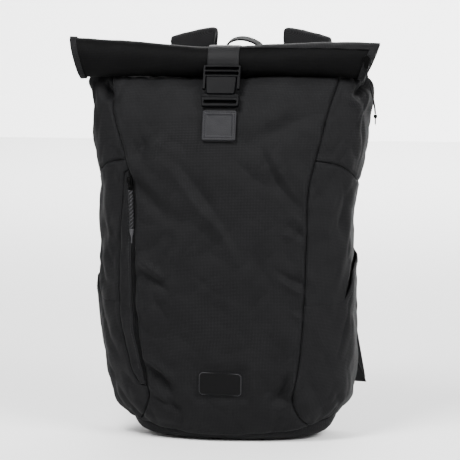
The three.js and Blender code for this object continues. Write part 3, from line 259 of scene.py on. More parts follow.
# Each crease: width, rise, then its points as (x, z) seen from the front
CREASES = [
    (4.5, -1.7, (-74, 361), (-84, 353), (-95, 342), (-103, 329)),
    (3.5, -1.3, (-93, 357), (-88, 342), (-94, 330)),
    (5.0, 1.2, (-70, 352), (-80, 343), (-88, 330)),
    (7.0, 2.0, (-71, 325), (-57, 320), (-33, 289), (-15, 267), (2, 251), (29, 204)),
    (6.0, -1.5, (-61, 334), (-44, 322), (-20, 292), (2, 262), (22, 232)),
    (4.5, 1.8, (56, 347), (68, 326), (77, 307), (91, 289), (101, 280)),
    (4.0, -1.5, (48, 346), (60, 322), (70, 302), (88, 282), (100, 272)),
    (4.0, 1.1, (73, 249), (87, 240), (101, 232)),
    (3.5, 1.0, (84, 270), (94, 259), (102, 245)),
    (4.0, -1.1, (78, 257), (90, 249), (102, 238)),
    (4.0, 2.2, (70, 196), (85, 184), (101, 175)),
    (4.0, -2.0, (68, 205), (84, 193), (101, 185)),
    (3.5, 1.0, (82, 156), (96, 147), (105, 142)),
    (3.6, -2.4, (-97, 203), (-79, 192), (-58, 178)),
    (3.6, 2.0, (-95, 212), (-77, 203), (-60, 190)),
    (4.5, 2.8, (-86, 98), (-66, 85), (-47, 67)),
    (4.0, -2.6, (-84, 88), (-66, 74), (-54, 56)),
    (4.0, 2.2, (-84, 66), (-68, 56), (-54, 36)),
    (3.5, -2.2, (-80, 52), (-62, 45), (-44, 36)),
    (4.5, -3.4, (86, 84), (76, 66), (62, 46)),
    (4.5, 2.4, (97, 87), (87, 73), (76, 52)),
    (5.0, -8.5, (-146, 419), (-141, 408), (-133, 398)),
    (4.0, 2.0, (-143, 402), (-136, 392), (-130, 380)),
    (4.5, -8.5, (174, 424), (164, 414), (152, 404)),
    (3.5, 3.0, (143, 407), (149, 397), (158, 389)),
    (8.0, 0.9, (22, 353), (61, 376), (96, 392), (120, 403)),
    (7.0, -0.9, (30, 342), (66, 364), (100, 380)),
    (7.0, -0.7, (22, 385), (61, 401), (96, 412)),
    (4.0, 1.2, (-137, 279), (-134, 252), (-134, 226), (-138, 207)),
    (4.0, -1.2, (-141, 254), (-133, 236), (-123, 221)),
    (9.0, -1.2, (52, 135), (73, 112), (85, 87)),
    (5.0, 1.0, (-128, 330), (-120, 316), (-118, 296)),
    (4.0, -1.2, (122, 330), (128, 312), (124, 292)),
    (4.5, 1.0, (118, 262), (126, 240), (122, 214)),
    (5.0, -1.0, (108, 120), (122, 104), (128, 84)),
]


def lattice_noise(u, v, seed):
    """Smooth noise from -1 to 1 on a lattice of seeded random heights."""
    cells = 64
    heights = np.random.default_rng(seed).uniform(-1, 1, (cells, cells))
    low_u, low_v = np.floor(u).astype(int), np.floor(v).astype(int)
    share_u, share_v = smooth(0, 1, u - low_u), smooth(0, 1, v - low_v)
    corner = lambda du, dv: heights[(low_u + du) % cells, (low_v + dv) % cells]
    return mix(mix(corner(0, 0), corner(1, 0), share_u), mix(corner(0, 1), corner(1, 1), share_u), share_v)


def crease_rise(points):
    """Rise of the small creases at points of the front, in millimetres."""
    rise = np.zeros(points.shape[:-1])
    place = points[..., [0, 2]]
    for wide, lift, *line in CREASES:
        line = np.array(line, float)
        steps = np.linalg.norm(np.diff(line, axis=0), axis=1)
        starts = np.concatenate([[0], np.cumsum(steps)])
        near = np.full(rise.shape, 1e9)
        where = np.zeros(rise.shape)
        for index, step in enumerate(steps):
            way = (line[index + 1] - line[index]) / step
            share = np.clip(((place - line[index]) @ way) / step, 0, 1)
            far = np.linalg.norm(place - line[index] - (share * step)[..., None] * way, axis=-1)
            closer = far < near
            near = np.where(closer, far, near)
            where = np.where(closer, (starts[index] + share * step) / starts[-1], where)
        fade = np.sin(np.pi * np.clip(where * 0.92 + 0.04, 0, 1)) ** 0.7
        rise += lift * fade * np.exp(-(near / (1.25 * wide)) ** 1.5) * (points[..., 1] < FRONT_ONLY)
    return rise


def facets(u, v, turn, size, seed):
    """Stiff cloth breaks into flat facets that meet in sharp valleys. 0 in a valley, up to 1 on a facet."""
    across = (u * math.cos(turn) + v * math.sin(turn)) / size
    along = (v * math.cos(turn) - u * math.sin(turn)) / (1.7 * size)
    return np.abs(lattice_noise(across + 17, along + 17, seed))


def wrinkles(around, up, points):
    """All that lifts the cloth off the plain skin: the folds, the small creases and soft noise."""
    u, v = around * GIRTH_PER_QUARTER, up * BODY_HEIGHT
    soft = 0.9 * lattice_noise(u / 47 + 9, v / 61 + 3, 5)
    broken = 4.0 * facets(u, v, 0.6, 30, 12) + 2.0 * facets(u, v, -0.5, 15, 8)
    slack = 0.16 * lattice_noise(u / 7 + v / 30, v / 9, 21)
    # The cloth lies calm where the label and the leather patch press on it. Each pair of distances is where
    # the folds begin and are whole again, counted from the patch's middle
    x, z = points[..., 0], points[..., 2]
    label_x, label_z = 3, 70
    under_label = smooth(38, 27, np.abs(x - label_x)) * smooth(26, 15, np.abs(z - label_z))
    under_strap = smooth(36, 22, np.abs(x)) * smooth(325, 345, z)
    calm = 1 - 0.95 * np.maximum(under_label, under_strap) * (points[..., 1] < FRONT_ONLY)
    return fold_rise(around, up) + calm * (2.0 * crease_rise(points) + soft + broken + slack)


print("creases:", len(CREASES))

# %% [markdown]
# ## From a grid of points to a piece of cloth
# A panel of cloth is a grid of points with a second grid under it and a closed rim between them, so it has
# a real thickness and a clean edge. Near a sewn edge the cloth turns down into the seam, and the thread
# gathers it into small puckers. Both come from the distance to the edge, so they stay a few millimetres
# wide however large the panel is.


# %% A closed slab between two grids, with its own UV map in metres
def shade_smooth(mesh):
    mesh.polygons.foreach_set("use_smooth", [True] * len(mesh.polygons))


def set_uvs(mesh, uvs):
    """Fills the UV map called cut from a pair in metres for each point."""
    layer = mesh.uv_layers.get("cut") or mesh.uv_layers.new(name="cut")
    corners = np.empty(len(mesh.loops), int)
    mesh.loops.foreach_get("vertex_index", corners)
    layer.data.foreach_set("uv", uvs[corners].ravel())


def make_object(name, points, faces, uvs=None):
    """An object at the origin from points in millimetres. uvs has one pair for each point."""
    mesh = bpy.data.meshes.new(name)
    mesh.from_pydata((np.asarray(points) * MM).tolist(), [], [list(map(int, face)) for face in faces])
    if uvs is not None:
        set_uvs(mesh, np.asarray(uvs) * MM)
    shade_smooth(mesh)
    return put(name, mesh)


def grid_faces(rows, columns, start=0, turned=False, ring=False):
    """Faces between the points of a grid. turned faces look the other way, and a ring closes on itself."""
    row, column = np.meshgrid(np.arange(rows - 1), np.arange(columns if ring else columns - 1), indexing="ij")
    here = start + row * columns + column
    right = start + row * columns + (column + 1) % columns
    quads = np.stack([here, right, right + columns, here + columns], -1).reshape(-1, 4)
    return quads[:, ::-1] if turned else quads


def rim_between(edge, count):
    """Faces from a closed edge to the same edge count points later."""
    following = np.roll(edge, -1)
    return np.stack([edge, edge + count, following + count, following], -1)


def slab(name, outer, inner, uvs):
    """A closed solid between two grids of points that have the same rows and columns."""
    rows, columns = outer.shape[:2]
    count = rows * columns
    index = np.arange(count).reshape(rows, columns)
    edge = np.concatenate([index[0, :-1], index[:-1, -1], index[-1, :0:-1], index[:0:-1, 0]])
    rim = rim_between(edge, count)
    faces = np.concatenate([grid_faces(rows, columns), grid_faces(rows, columns, count, True), rim])
    points = np.concatenate([outer.reshape(-1, 3), inner.reshape(-1, 3)])
    flat_uvs = uvs.reshape(-1, 2)
    made = make_object(name, points, faces, np.concatenate([flat_uvs, flat_uvs]))
    face_outwards(made)
    return made


def face_outwards(made):
    """Turns a closed mesh the right way out by the sign of its volume."""
    mesh = made.data
    points = np.array([vertex.co for vertex in mesh.vertices])
    mesh.calc_loop_triangles()
    corners = points[np.array([triangle.vertices for triangle in mesh.loop_triangles])]
    volume = np.einsum("ij,ij->i", corners[:, 0], np.cross(corners[:, 1], corners[:, 2])).sum() / 6
    if volume < 0:
        mesh.flip_normals()
    return volume


def lengths_along(points, axis):
    """Distances along the rows or columns of a grid, from its first edge."""
    steps = np.linalg.norm(np.diff(points, axis=axis), axis=-1)
    start = np.zeros_like(np.take(steps, [0], axis=axis))
    return np.cumsum(np.concatenate([start, steps], axis=axis), axis=axis)


def edge_turn(away_from_edge, along_edge, dip, seed):
    """How far the cloth sinks beside a seam, with the puckers that its thread pulls in."""
    turn = -dip * np.exp(-(away_from_edge / 1.9) ** 2)
    pucker = 0.34 * lattice_noise(along_edge / 5.2, np.full_like(along_edge, seed), seed)
    roll = 0.35 * np.exp(-((away_from_edge - 4.2) / 2.4) ** 2)
    return turn + roll + pucker * np.exp(-away_from_edge / 7.0) * (1 - np.exp(-away_from_edge / 1.5))


print("cloth tools are ready")


# %% A sewn panel on the skin
def panel(name, around, up, dips, proud=0.0, thick=CLOTH, wrinkled=1.0):
    """Cloth over a grid of places on the skin. dips gives its sink at the low, high, left and right edge."""
    base = plain_point(around, up)
    normal = outward_at(around, up)
    across = lengths_along(base, 1)
    rise = lengths_along(base, 0)
    width, height = across[:, -1:], rise[-1:, :]
    lift = wrinkled * wrinkles(around, up, base) + proud
    distances = (rise, height - rise, across, width - across)
    for side, (dip, distance) in enumerate(zip(dips, distances)):
        if dip:
            lift = lift + edge_turn(distance, across if side < 2 else rise, dip, 3 + side + len(name))
    outer = base + normal * lift[..., None]
    inner = outer - normal * thick
    middle = across - width / 2
    uvs = np.stack([middle, up * BODY_HEIGHT + 0 * middle], -1)
    return slab(name, outer, inner, uvs)


def grid_places(rows, columns):
    return np.meshgrid(np.linspace(0, 1, rows + 1), np.linspace(0, 1, columns + 1), indexing="ij")


front_rise, front_share = grid_places(270, 176)
HALF_GAP = GAP / 2
UP_GAP = HALF_GAP / BODY_HEIGHT
front_x = mix(seam_across(-1, front_rise) + HALF_GAP, seam_across(1, front_rise) - HALF_GAP, front_share)
front_panel = panel("front_cloth", around_at(front_x, front_rise), front_rise, (0.8, 0, 2.2, 2.2))
print("front panel:", len(front_panel.data.polygons), "faces")

# %% [markdown]
# ## Sides and bottle pockets
# Each side is two panels that meet at a curved seam, and a pocket of the same cloth lies over the lower one.
# The pocket is wider than what it covers, so its slanted mouth gapes. Here the pocket stands off the skin
# by a table of its own, and the lower side panel is sunk behind it.

# %% The curved seam, the pocket's mouth and the strip beside the zip
# Columns: share of the way from the front seam to the back seam, then place up
SIDE_SEAM = np.array([(0.00, 23 / 30), (0.18, 0.754), (0.34, 0.732), (0.52, 0.706), (1.00, 0.672)])
# Columns: share of the way, place up, then how far the pocket stands off as a share
POCKET_MOUTH = np.array([
    (0.00, 11 / 30, 0.00), (0.20, 0.368, 0.30), (0.38, 0.380, 0.85),
    (0.54, 0.450, 1.00), (0.74, 0.495, 0.90), (1.00, 0.510, 0.00),
])
POCKET_STAND, POCKET_SWELL, POCKET_ROOM = 2.6, 1.3, 0.3
STRIP_LOW, STRIP_HIGH, STRIP_WIDTH, ZIP_WIDTH = 4 / 30, 22 / 30, 17.0, 3.6


def strip_share(up):
    share = np.clip((up - STRIP_LOW) / (STRIP_HIGH - STRIP_LOW), 0, 1)
    return mix(0.12, 1, np.sin(np.pi * share ** 0.72) ** 0.45)


def side_place(side, share, up):
    """The place round the bag at a share of the way from the front seam to the back seam."""
    has_strip = (side < 0) & (up > STRIP_LOW - UP_GAP) & (up < STRIP_HIGH + UP_GAP)
    strip = np.where(has_strip, strip_share(up) * (STRIP_WIDTH + ZIP_WIDTH), 0)
    front = around_at(seam_across(side, up) + side * (HALF_GAP + strip), up)
    back = around_at(back_across(side, up) + side * 3 * HALF_GAP, up, True)
    return mix(front, back, share)


def side_panel(name, side, rows, columns, low, high, dips, proud=0.0):
    """A panel from the front seam to the back seam, between two heights that may vary on the way."""
    rise, share = grid_places(rows, columns)
    up = mix(low(share), high(share), rise)
    lift = proud(share, up) if callable(proud) else proud
    return panel(name, side_place(side, share, up), up, dips, lift)


print("side seam meets the front at", round(SIDE_SEAM[0, 1] * BODY_HEIGHT), "mm")

# %% Side panels above and below the curved seam, and the pockets
seam_up = lambda share: read_rows(SIDE_SEAM, 1, share)
mouth_up = lambda share: read_rows(POCKET_MOUTH, 1, share)
pocket_stand = lambda share: read_rows(POCKET_MOUTH, 2, share) * POCKET_STAND
bottom = lambda share: 0 * share
top = lambda share: 0 * share + 1


def open_share(share):
    """None in front of the mouth's low point, where pocket and side are one cloth, and all behind it."""
    return smooth(0.34, 0.46, share)


def behind_pocket(share, up):
    """The lower side is sunk behind the pocket. Where the mouth is shut it comes up flush with it."""
    fade = mix(-0.008, 0.03, open_share(share))
    top_of_fade = mouth_up(share) + np.maximum(fade, -UP_GAP)
    low_of_fade = top_of_fade - 0.012 - 0.02 * open_share(share)
    return -(CLOTH + POCKET_ROOM) * (1 - smooth(low_of_fade, top_of_fade, up))


def pocket_bulge(share, up):
    """The pocket stands off the side, and its hem is a little proud with a crease under it."""
    below = (mouth_up(share) - up) * BODY_HEIGHT
    hem = 0.7 * (1 - smooth(8.0, 10.0, below)) - 0.5 * np.exp(-((below - 10.5) / 1.2) ** 2)
    stand = pocket_stand(share) * open_share(share)
    return stand * np.clip(up / mouth_up(share), 0, 1) ** POCKET_SWELL + hem * open_share(share)


sides = {}
for side, word in ((-1, "left"), (1, "right")):
    sides[f"side_upper_{word}"] = side_panel(
        f"side_upper_cloth_{word}", side, 72, 70, lambda share: seam_up(share) + UP_GAP, top,
        (1.8, 0, 2.0, 1.0))
    sides[f"side_lower_{word}"] = side_panel(
        f"side_lower_cloth_{word}", side, 130, 60, bottom, lambda share: seam_up(share) - UP_GAP,
        (0.8, 1.8, 2.0, 1.0), behind_pocket)
    sides[f"bottle_pocket_{word}"] = side_panel(
        f"pocket_cloth_{word}", side, 90, 72, bottom, mouth_up, (0.8, 0, 1.2, 0.9), pocket_bulge)
print("side pieces:", sorted(sides))

# %% [markdown]
# ## The strip beside the front pocket's zip
# A zip is never sewn straight to a bag's body cloth on show. It lies between the front panel and a narrow
# strip, both folded back beside the teeth as welts. The strip has its own seam on its outer side.

# %% The strip, and the sunk tape that carries the teeth
strip_rise, strip_aside = grid_places(150, 14)
strip_up = mix(STRIP_LOW, STRIP_HIGH, strip_rise)
strip_near = ZIP_WIDTH * strip_share(strip_up) + HALF_GAP
strip_far = (ZIP_WIDTH + STRIP_WIDTH) * strip_share(strip_up) - GAP
strip_x = seam_across(-1, strip_up) - HALF_GAP - mix(strip_far, strip_near, strip_aside)
zip_strip = panel("zip_strip_cloth", around_at(strip_x, strip_up), strip_up, (0.5, 0.5, 1.2, 0.5))
tape_rise, tape_aside = grid_places(150, 4)
tape_up = mix(STRIP_LOW, STRIP_HIGH, tape_rise)
tape_x = seam_across(-1, tape_up) - HALF_GAP - mix(ZIP_WIDTH * strip_share(tape_up) - HALF_GAP, 0, tape_aside)
zip_tape = panel("zip_tape_cloth", around_at(tape_x, tape_up), tape_up, (0, 0, 0, 0), -1.3, 1.0)
print("zip:", round((STRIP_HIGH - STRIP_LOW) * BODY_HEIGHT), "mm long")

# %% [markdown]
# ## Back wall, rear cloth and base
# The back is a padded wall covered with spacer mesh. Above it plain cloth runs forward to the roll. The base
# is a shallow dish of a tighter cloth, and its flat middle is what the bag stands on.

# %% Back wall and the cloth above it
BACK_TOP, BACK_FOAM = 0.915, 5.0


def back_piece(name, rows, low, high, dips, thick):
    rise, share = grid_places(rows, 70)
    up = mix(low, high, rise)
    x = mix(back_across(1, up) - HALF_GAP, back_across(-1, up) + HALF_GAP, share)
    around = around_at(x, up, True)
    around = np.where(around < 0, around + 4, around)
    return panel(name, around, up, dips, 0.0, thick, 0.35)


back_panel = back_piece("back_wall", 110, 0, BACK_TOP - UP_GAP, (0.8, 0.9, 1.0, 1.0), BACK_FOAM * 0.6)
rear_top = back_piece("rear_cloth", 46, BACK_TOP + UP_GAP, 1, (0.9, 0, 1.0, 1.0), CLOTH)
print("back wall and rear cloth")

# %% The dished base, from its middle out to the base seam
# Columns: how far out from the middle, then how high on the way to the base seam, as shares
BASE_RINGS = np.array([(0.00, 0.00), (0.40, 0.00), (0.58, 0.00), (0.66, 0.01), (0.74, 0.05), (0.81, 0.11),
                       (0.87, 0.20), (0.92, 0.32), (0.955, 0.48), (0.98, 0.68), (0.993, 0.86), (1.000, 1.00)])
BASE_SIDES = 240
base_around = np.linspace(-2, 2, BASE_SIDES + 1)[:-1]
rim_lift = fold_rise(base_around, 0.0)[:, None]
rim = plain_point(base_around, 0.0) + outward_at(base_around, np.zeros(BASE_SIDES)) * rim_lift
ring_out, ring_height = BASE_RINGS[:, 0, None], BASE_RINGS[:, 1, None]
base_outer = np.stack([rim[:, 0] * ring_out, rim[:, 1] * ring_out, (rim[:, 2] - 2 * GAP) * ring_height], -1)
base_inner = base_outer * [0.985, 0.985, 1.0] + [0, 0, CLOTH * 0.8]
base_uvs = (base_outer[..., :2] + [0, 400]).reshape(-1, 2)
base_rings, base_count = len(BASE_RINGS), len(BASE_RINGS) * BASE_SIDES
base_edge = base_count - BASE_SIDES + np.arange(BASE_SIDES)
base_faces = np.concatenate([
    grid_faces(base_rings, BASE_SIDES, ring=True),
    grid_faces(base_rings, BASE_SIDES, base_count, turned=True, ring=True),
    rim_between(base_edge, base_count)[:, ::-1]])
base_points = np.concatenate([base_outer.reshape(-1, 3), base_inner.reshape(-1, 3)])
base_panel = make_object("base_cloth", base_points, base_faces, np.concatenate([base_uvs, base_uvs]))


def merge_close(made):
    """Joins points that lie on each other, such as the pole of a dish."""
    near = 0.01 * MM
    work = bmesh.new()
    work.from_mesh(made.data)
    bmesh.ops.remove_doubles(work, verts=work.verts, dist=near)
    bmesh.ops.dissolve_degenerate(work, dist=near * 0.1, edges=work.edges)
    work.to_mesh(made.data)
    work.free()
    shade_smooth(made.data)


merge_close(base_panel)
print("base volume", round(face_outwards(base_panel) * 1e6, 1), "cm3")

# %% [markdown]
# ## The rolled mouth
# The mouth is two layers of cloth, the bag's front and back, rolled two and a half turns together. At the
# open ends the turns show as parallel edges. So the roll is two nested spiral bands, each as thick as the
# folded cloth, wider at the ends where no strap pulls them tight. Turned hems lie along its mouth and ends.

# %% The spiral and its two layers
ROLL_LENGTH, ROLL_SHIFT, ROLL_HALF_DEPTH, ROLL_HALF_HEIGHT = 352.0, -3.2, 18.0, 19.5
ROLL_FORWARD, ROLL_PITCH, ROLL_TURNS, ROLL_START = 22.0, 3.6, 2.5, math.radians(-25)
# Columns: place along the roll, then height, depth and lift as shares
ROLL_STATIONS = np.array([
    (0.00, 1.30, 0.92, -0.10), (0.14, 1.21, 0.98, -0.02), (0.30, 1.07, 1.02, 0.01), (0.44, 1.00, 1.00, 0.00),
    (0.56, 1.00, 1.00, 0.00), (0.66, 1.03, 1.02, 0.01), (0.84, 1.08, 1.00, 0.03), (1.00, 1.13, 0.90, -0.04),
])


def roll_point(along, angle, depth):
    """A point of the wound mouth at an angle of its spiral, a depth under its face."""
    along, angle = np.broadcast_arrays(np.asarray(along, float), np.asarray(angle, float))
    height, deep, lift = (read_rows(ROLL_STATIONS, column, along) for column in (1, 2, 3))
    inset = depth + ROLL_PITCH * (angle - ROLL_START) / (2 * math.pi)
    half_depth = ROLL_HALF_DEPTH * deep - inset
    half_height = ROLL_HALF_HEIGHT * height - inset
    middle = 0.9815 * BODY_HEIGHT + ROLL_HALF_HEIGHT * (height + lift) - ROLL_PITCH * 0.82
    rise = half_height * np.sin(angle)
    lean = np.where(along < 0.5, -10.0, 17.0) * smooth(0.3, 0.5, np.abs(along - 0.5))
    x = ROLL_LENGTH * (along - 0.5) + ROLL_SHIFT + lean * rise / (2 * ROLL_HALF_HEIGHT)
    return np.stack([x, -ROLL_FORWARD + half_depth * np.cos(angle), middle + rise], -1)


def flutter(along, angle, seed):
    """The slack of the rolled cloth, in long waves with short ones on them."""
    return 1.1 * lattice_noise(along * 9 + seed, angle * 0.9, seed) + 0.35 * lattice_noise(
        along * 31, angle * 2.1, seed + 1)


def roll_slab(name, along, angle, low_depth, high_depth, wave):
    outer, inner = roll_point(along, angle, low_depth - wave), roll_point(along, angle, high_depth - wave)
    return slab(name, outer, inner, np.stack([along * ROLL_LENGTH, angle * ROLL_HALF_HEIGHT], -1))


def roll_layer(name, low_depth, high_depth, turns, seed):
    """One layer of the rolled mouth between two depths under the roll's face."""
    share, along = grid_places(round(64 * turns), 150)
    angle = ROLL_START + share * turns * 2 * math.pi
    held = 1 - 0.8 * np.exp(-((along - 0.5) / 0.09) ** 2)
    wave = flutter(along, angle, seed) * held * np.exp(-share * 2.0)
    return roll_slab(name, along, angle, low_depth, high_depth, wave)


rolled_outer = roll_layer("rolled_mouth_outer", 0.0, 1.25, ROLL_TURNS, 3)
rolled_inner = roll_layer("rolled_mouth_inner", 1.55, 2.8, ROLL_TURNS - 0.02, 4)


def roll_hem(name, low_along, high_along, low_angle, high_angle, columns, rows):
    """A turned hem that lies on the roll's face. The angles, in degrees, may widen along the roll."""
    share, across = grid_places(rows, columns)
    along = mix(low_along, high_along, across)
    angle = np.radians(mix(low_angle, mix(high_angle[0], high_angle[1], across), share))
    return roll_slab(name, along, angle, -1.6, -0.3, flutter(along, angle, 3))


front_hem = roll_hem("roll_front_hem", 0.56, 0.985, 70, (112, 142), 110, 18)
left_hem = roll_hem("roll_left_hem", 0.002, 0.022, 60, (285, 285), 6, 60)
right_hem = roll_hem("roll_right_hem", 0.976, 0.999, 100, (285, 285), 6, 60)
print("roll:", ROLL_TURNS, "turns,", ROLL_LENGTH, "mm long")

# %% [markdown]
# ## Webbing
# Webbing is woven as a flat tube, so its edges are round and its face has ribs across. A band is swept along
# a line of points with a direction across it. Its section is a rounded rectangle, and its UV map runs in real
# millimetres, so that the ribs of the weave keep their size round every bend.


# %% A band swept along a line
def steps_along(points):
    """Distances along a line of points from its start."""
    return np.concatenate([[0], np.cumsum(np.linalg.norm(np.diff(points, axis=0), axis=1))])


def turn_angles(count):
    return np.linspace(0, 2 * math.pi, count + 1)[:-1]


def smooth_line(points, count):
    """Points evenly along a smooth curve through the given ones."""
    points = np.asarray(points, float)
    steps = steps_along(points)
    rows = np.column_stack([steps, points])
    places = np.linspace(0, steps[-1], count)
    return np.column_stack([read_rows(rows, column, places) for column in range(1, points.shape[1] + 1)])


def band_section(sides, squareness):
    """A rounded rectangle of half width 1 and half thickness 1. squareness 1 is an ellipse."""
    angle = turn_angles(sides)
    return signed_power(np.cos(angle), squareness), signed_power(np.sin(angle), squareness)


def band(name, line, across, half_width, half_thick, count=60, sides=28, squareness=0.35, wave=0.0, seed=1):
    """A closed band. across, the half width and the half thickness are one value or one for each point."""
    line = np.asarray(line, float)
    across = np.broadcast_to(np.asarray(across, float), line.shape)
    widths = np.broadcast_to(np.asarray(half_width, float), line.shape[:1])
    thicks = np.broadcast_to(np.asarray(half_thick, float), line.shape[:1])
    table = smooth_line(np.column_stack([line, across, widths, thicks]), count)
    centre, across = table[:, :3], table[:, 3:6]
    along = unit(np.gradient(centre, axis=0))
    across = unit(across - along * (across * along).sum(1)[:, None])
    out = np.cross(along, across)
    x, y = band_section(sides, squareness)
    steps = steps_along(centre)
    sway = wave * lattice_noise(steps[:, None] / 14, 3 + x[None, :] * 1.3, seed)
    rings = (centre[:, None] + across[:, None] * (table[:, 6, None] * x)[..., None]
             + out[:, None] * (table[:, 7, None] * y + sway)[..., None])
    uvs = np.stack([table[:, 6, None] * x + 0 * steps[:, None], steps[:, None] + 0 * x[None, :]], -1)
    return tube_from_rings(name, rings, uvs)


def tube_from_rings(name, rings, uvs):
    """A closed tube through rings of points, with its two ends capped by fans."""
    count, sides = rings.shape[:2]
    ends = [rings[0].mean(0), rings[-1].mean(0)]
    faces = [tuple(face) for face in grid_faces(count, sides, 0, False, True)]
    first, final = count * sides, count * sides + 1
    for index in range(sides):
        after = (index + 1) % sides
        faces.append((after, index, first))
        faces.append(((count - 1) * sides + index, (count - 1) * sides + after, final))
    points = np.concatenate([rings.reshape(-1, 3), ends])
    flat = np.concatenate([uvs.reshape(-1, 2), uvs[0].mean(0)[None], uvs[-1].mean(0)[None]])
    made = make_object(name, points, faces, flat)
    face_outwards(made)
    return made


print("webbing tools are ready")

# %% [markdown]
# ## The closure strap and its buckle's plane
# One strap is sewn to the rear cloth, passes over the roll and through the ladder of the buckle. The other
# comes up from under a leather patch. The buckle lies in a plane that leans from the roll's face down to the
# front panel, so all of its parts share one matrix.

# %% The plane of the buckle
WEB_WIDTH, WEB_THICK, LADDER_HEIGHT, SOCKET_HEIGHT, FRAME_HEIGHT = 38.0, 1.6, 14.5, 21.5, 16.5
BUCKLE_WIDTH, BUCKLE_THICK, SOCKET_WIDTH, SOCKET_FOOT, SOCKET_THICK = 44.0, 5.0, 36.0, 33.0, 7.0
RIM, SLOT_HEIGHT = 2.6, 3.4


def folded_point(up):
    return plain_point(0.0, up) + outward_at(0.0, up) * fold_rise(0.0, up)


def front_at(height):
    """The place up the bag of the front's middle at a height, and its point with the folds in it."""
    low, high = 0.0, 1.0
    for _ in range(18):
        middle = (low + high) / 2
        low, high = (low, middle) if folded_point(middle)[2] > height else (middle, high)
    return low, folded_point(low)


roll_front = roll_point(0.5, math.pi, 0.0)
buckle_top = np.array([0, roll_front[1] - WEB_THICK - 2.5 * GAP, roll_front[2] - 4])
buckle_drop = LADDER_HEIGHT + SOCKET_HEIGHT + FRAME_HEIGHT
buckle_foot = np.array([0, front_at(buckle_top[2] - buckle_drop)[1][1] - 4, buckle_top[2] - buckle_drop])
strap_line = unit(buckle_top - buckle_foot)
plane_out = np.array([0, -strap_line[2], strap_line[1]])
print("buckle from", np.round(buckle_top, 1), "down to", np.round(buckle_foot, 1))

# %% Upper and lower strap
lift = GAP + WEB_THICK / 2
sewn_up = mix(BACK_TOP, 1, 0.55)
upper_line = []
for share in (0, 0.2, 0.4):
    up = mix(sewn_up, 1, share)
    upper_line.append(plain_point(2.0, up) + outward_at(2.0, up) * (lift + GAP))
for step in np.arange(2, 9.5, 0.5):
    angle = ROLL_START + 2 * math.pi * step / 16
    out = np.array([0, math.cos(angle), math.sin(angle)])
    upper_line.append(roll_point(0.5, angle, 0) + out * (lift + 0.6 * GAP))
for drop in (1, 5, 9, LADDER_HEIGHT - 0.5):
    upper_line.append(buckle_top - strap_line * drop - plane_out * lift)
upper_line = np.array(upper_line) * [0, 1, 1]
upper_strap = band("closure_strap_top", upper_line, (1, 0, 0), WEB_WIDTH / 2 - 0.4, WEB_THICK / 2, 110)

socket_top = -LADDER_HEIGHT - GAP
frame_low = socket_top - SOCKET_HEIGHT - FRAME_HEIGHT + 2
slot_low = frame_low + RIM * 1.5
PATCH_HEIGHT, PATCH_WIDTH, PATCH_THICK = 35.0, 39.5, 2.4
strap_low_up, strap_low_point = front_at(buckle_top[2] + frame_low - PATCH_HEIGHT)
strap_foot = strap_low_point + outward_at(0.0, strap_low_up) * lift
bend_up, bend_point = front_at(buckle_top[2] + frame_low - 2)
strap_bend = bend_point + outward_at(0.0, bend_up) * (lift + 1.2)
lower_line = [buckle_top + strap_line * (slot_low + SLOT_HEIGHT + 1) - plane_out * lift,
              buckle_top + strap_line * frame_low - plane_out * lift, strap_bend,
              mix(strap_bend, strap_foot, 0.5), strap_foot]
lower_strap = band("closure_strap_bottom", np.array(lower_line) * [0, 1, 1], (1, 0, 0), WEB_WIDTH / 2 - 1.2,
                   WEB_THICK / 2, 50)
print("straps:", np.round(upper_line[0], 1), "to", np.round(strap_foot, 1))

# %% [markdown]
# ## Moulded plates with holes
# A side-release buckle is injection-moulded acetal: flat plates with rounded edges and slots. A filled 2D
# curve does this well. Its inner splines become holes, its extrusion gives the thickness, and its bevel the
# moulded radius, which catches a thin line of light.


# %% Plates from outlines
def rounded(left, low, width, height, radius, steps=6):
    """The outline of a rounded rectangle, anticlockwise."""
    near_x, far_x = left + radius, left + width - radius
    near_y, far_y = low + radius, low + height - radius
    outline = []
    for turn, (x, y) in enumerate(((far_x, near_y), (far_x, far_y), (near_x, far_y), (near_x, near_y))):
        for step in range(steps + 1):
            angle = math.pi / 2 * (turn - 1 + step / steps)
            outline.append((x + radius * math.cos(angle), y + radius * math.sin(angle)))
    return outline


def real_mesh(made):
    """The mesh of an object with its curve, modifiers and nodes worked out."""
    return bpy.data.meshes.new_from_object(made.evaluated_get(bpy.context.evaluated_depsgraph_get()))


def mesh_of(made):
    """Takes an object away and keeps its worked-out mesh."""
    mesh = real_mesh(made)
    bpy.data.objects.remove(made)
    return mesh


def closed_spline(curve, points):
    """A closed line of a curve through places in millimetres."""
    spline = curve.splines.new("POLY")
    spline.points.add(len(points) - 1)
    for place, point in zip(spline.points, points):
        place.co = (*(np.asarray(point) * MM), 1)
    spline.use_cyclic_u = True


def plate(name, outlines, low, high, bevel, place):
    """A plate between two heights over closed outlines in millimetres, put in place by a matrix."""
    curve = bpy.data.curves.new(name, "CURVE")
    curve.dimensions = "2D"
    curve.fill_mode = "BOTH"
    for outline in outlines:
        closed_spline(curve, [(x, y, 0) for x, y in outline])
    curve.extrude = ((high - low) / 2 - bevel) * MM
    curve.bevel_depth = bevel * MM
    curve.offset = -bevel * MM
    curve.bevel_resolution = 3
    mesh = mesh_of(put(name, curve))
    mesh.transform(place @ Matrix.Translation((0, 0, (low + high) / 2 * MM)))
    return put(name, mesh)


def join(name, pieces):
    """One object from several, so that a moulding is one piece."""
    work = bmesh.new()
    for piece in pieces:
        work.from_mesh(piece.data)
    mesh = bpy.data.meshes.new(name)
    work.to_mesh(mesh)
    work.free()
    for piece in pieces:
        bpy.data.objects.remove(piece)
    return put(name, mesh)


def shade_by_angle(made, degrees=35):
    """Smooth shading that stays sharp at edges, as on a moulding."""
    shade_smooth(made.data)
    made.data.set_sharp_from_angle(angle=math.radians(degrees))
    return made


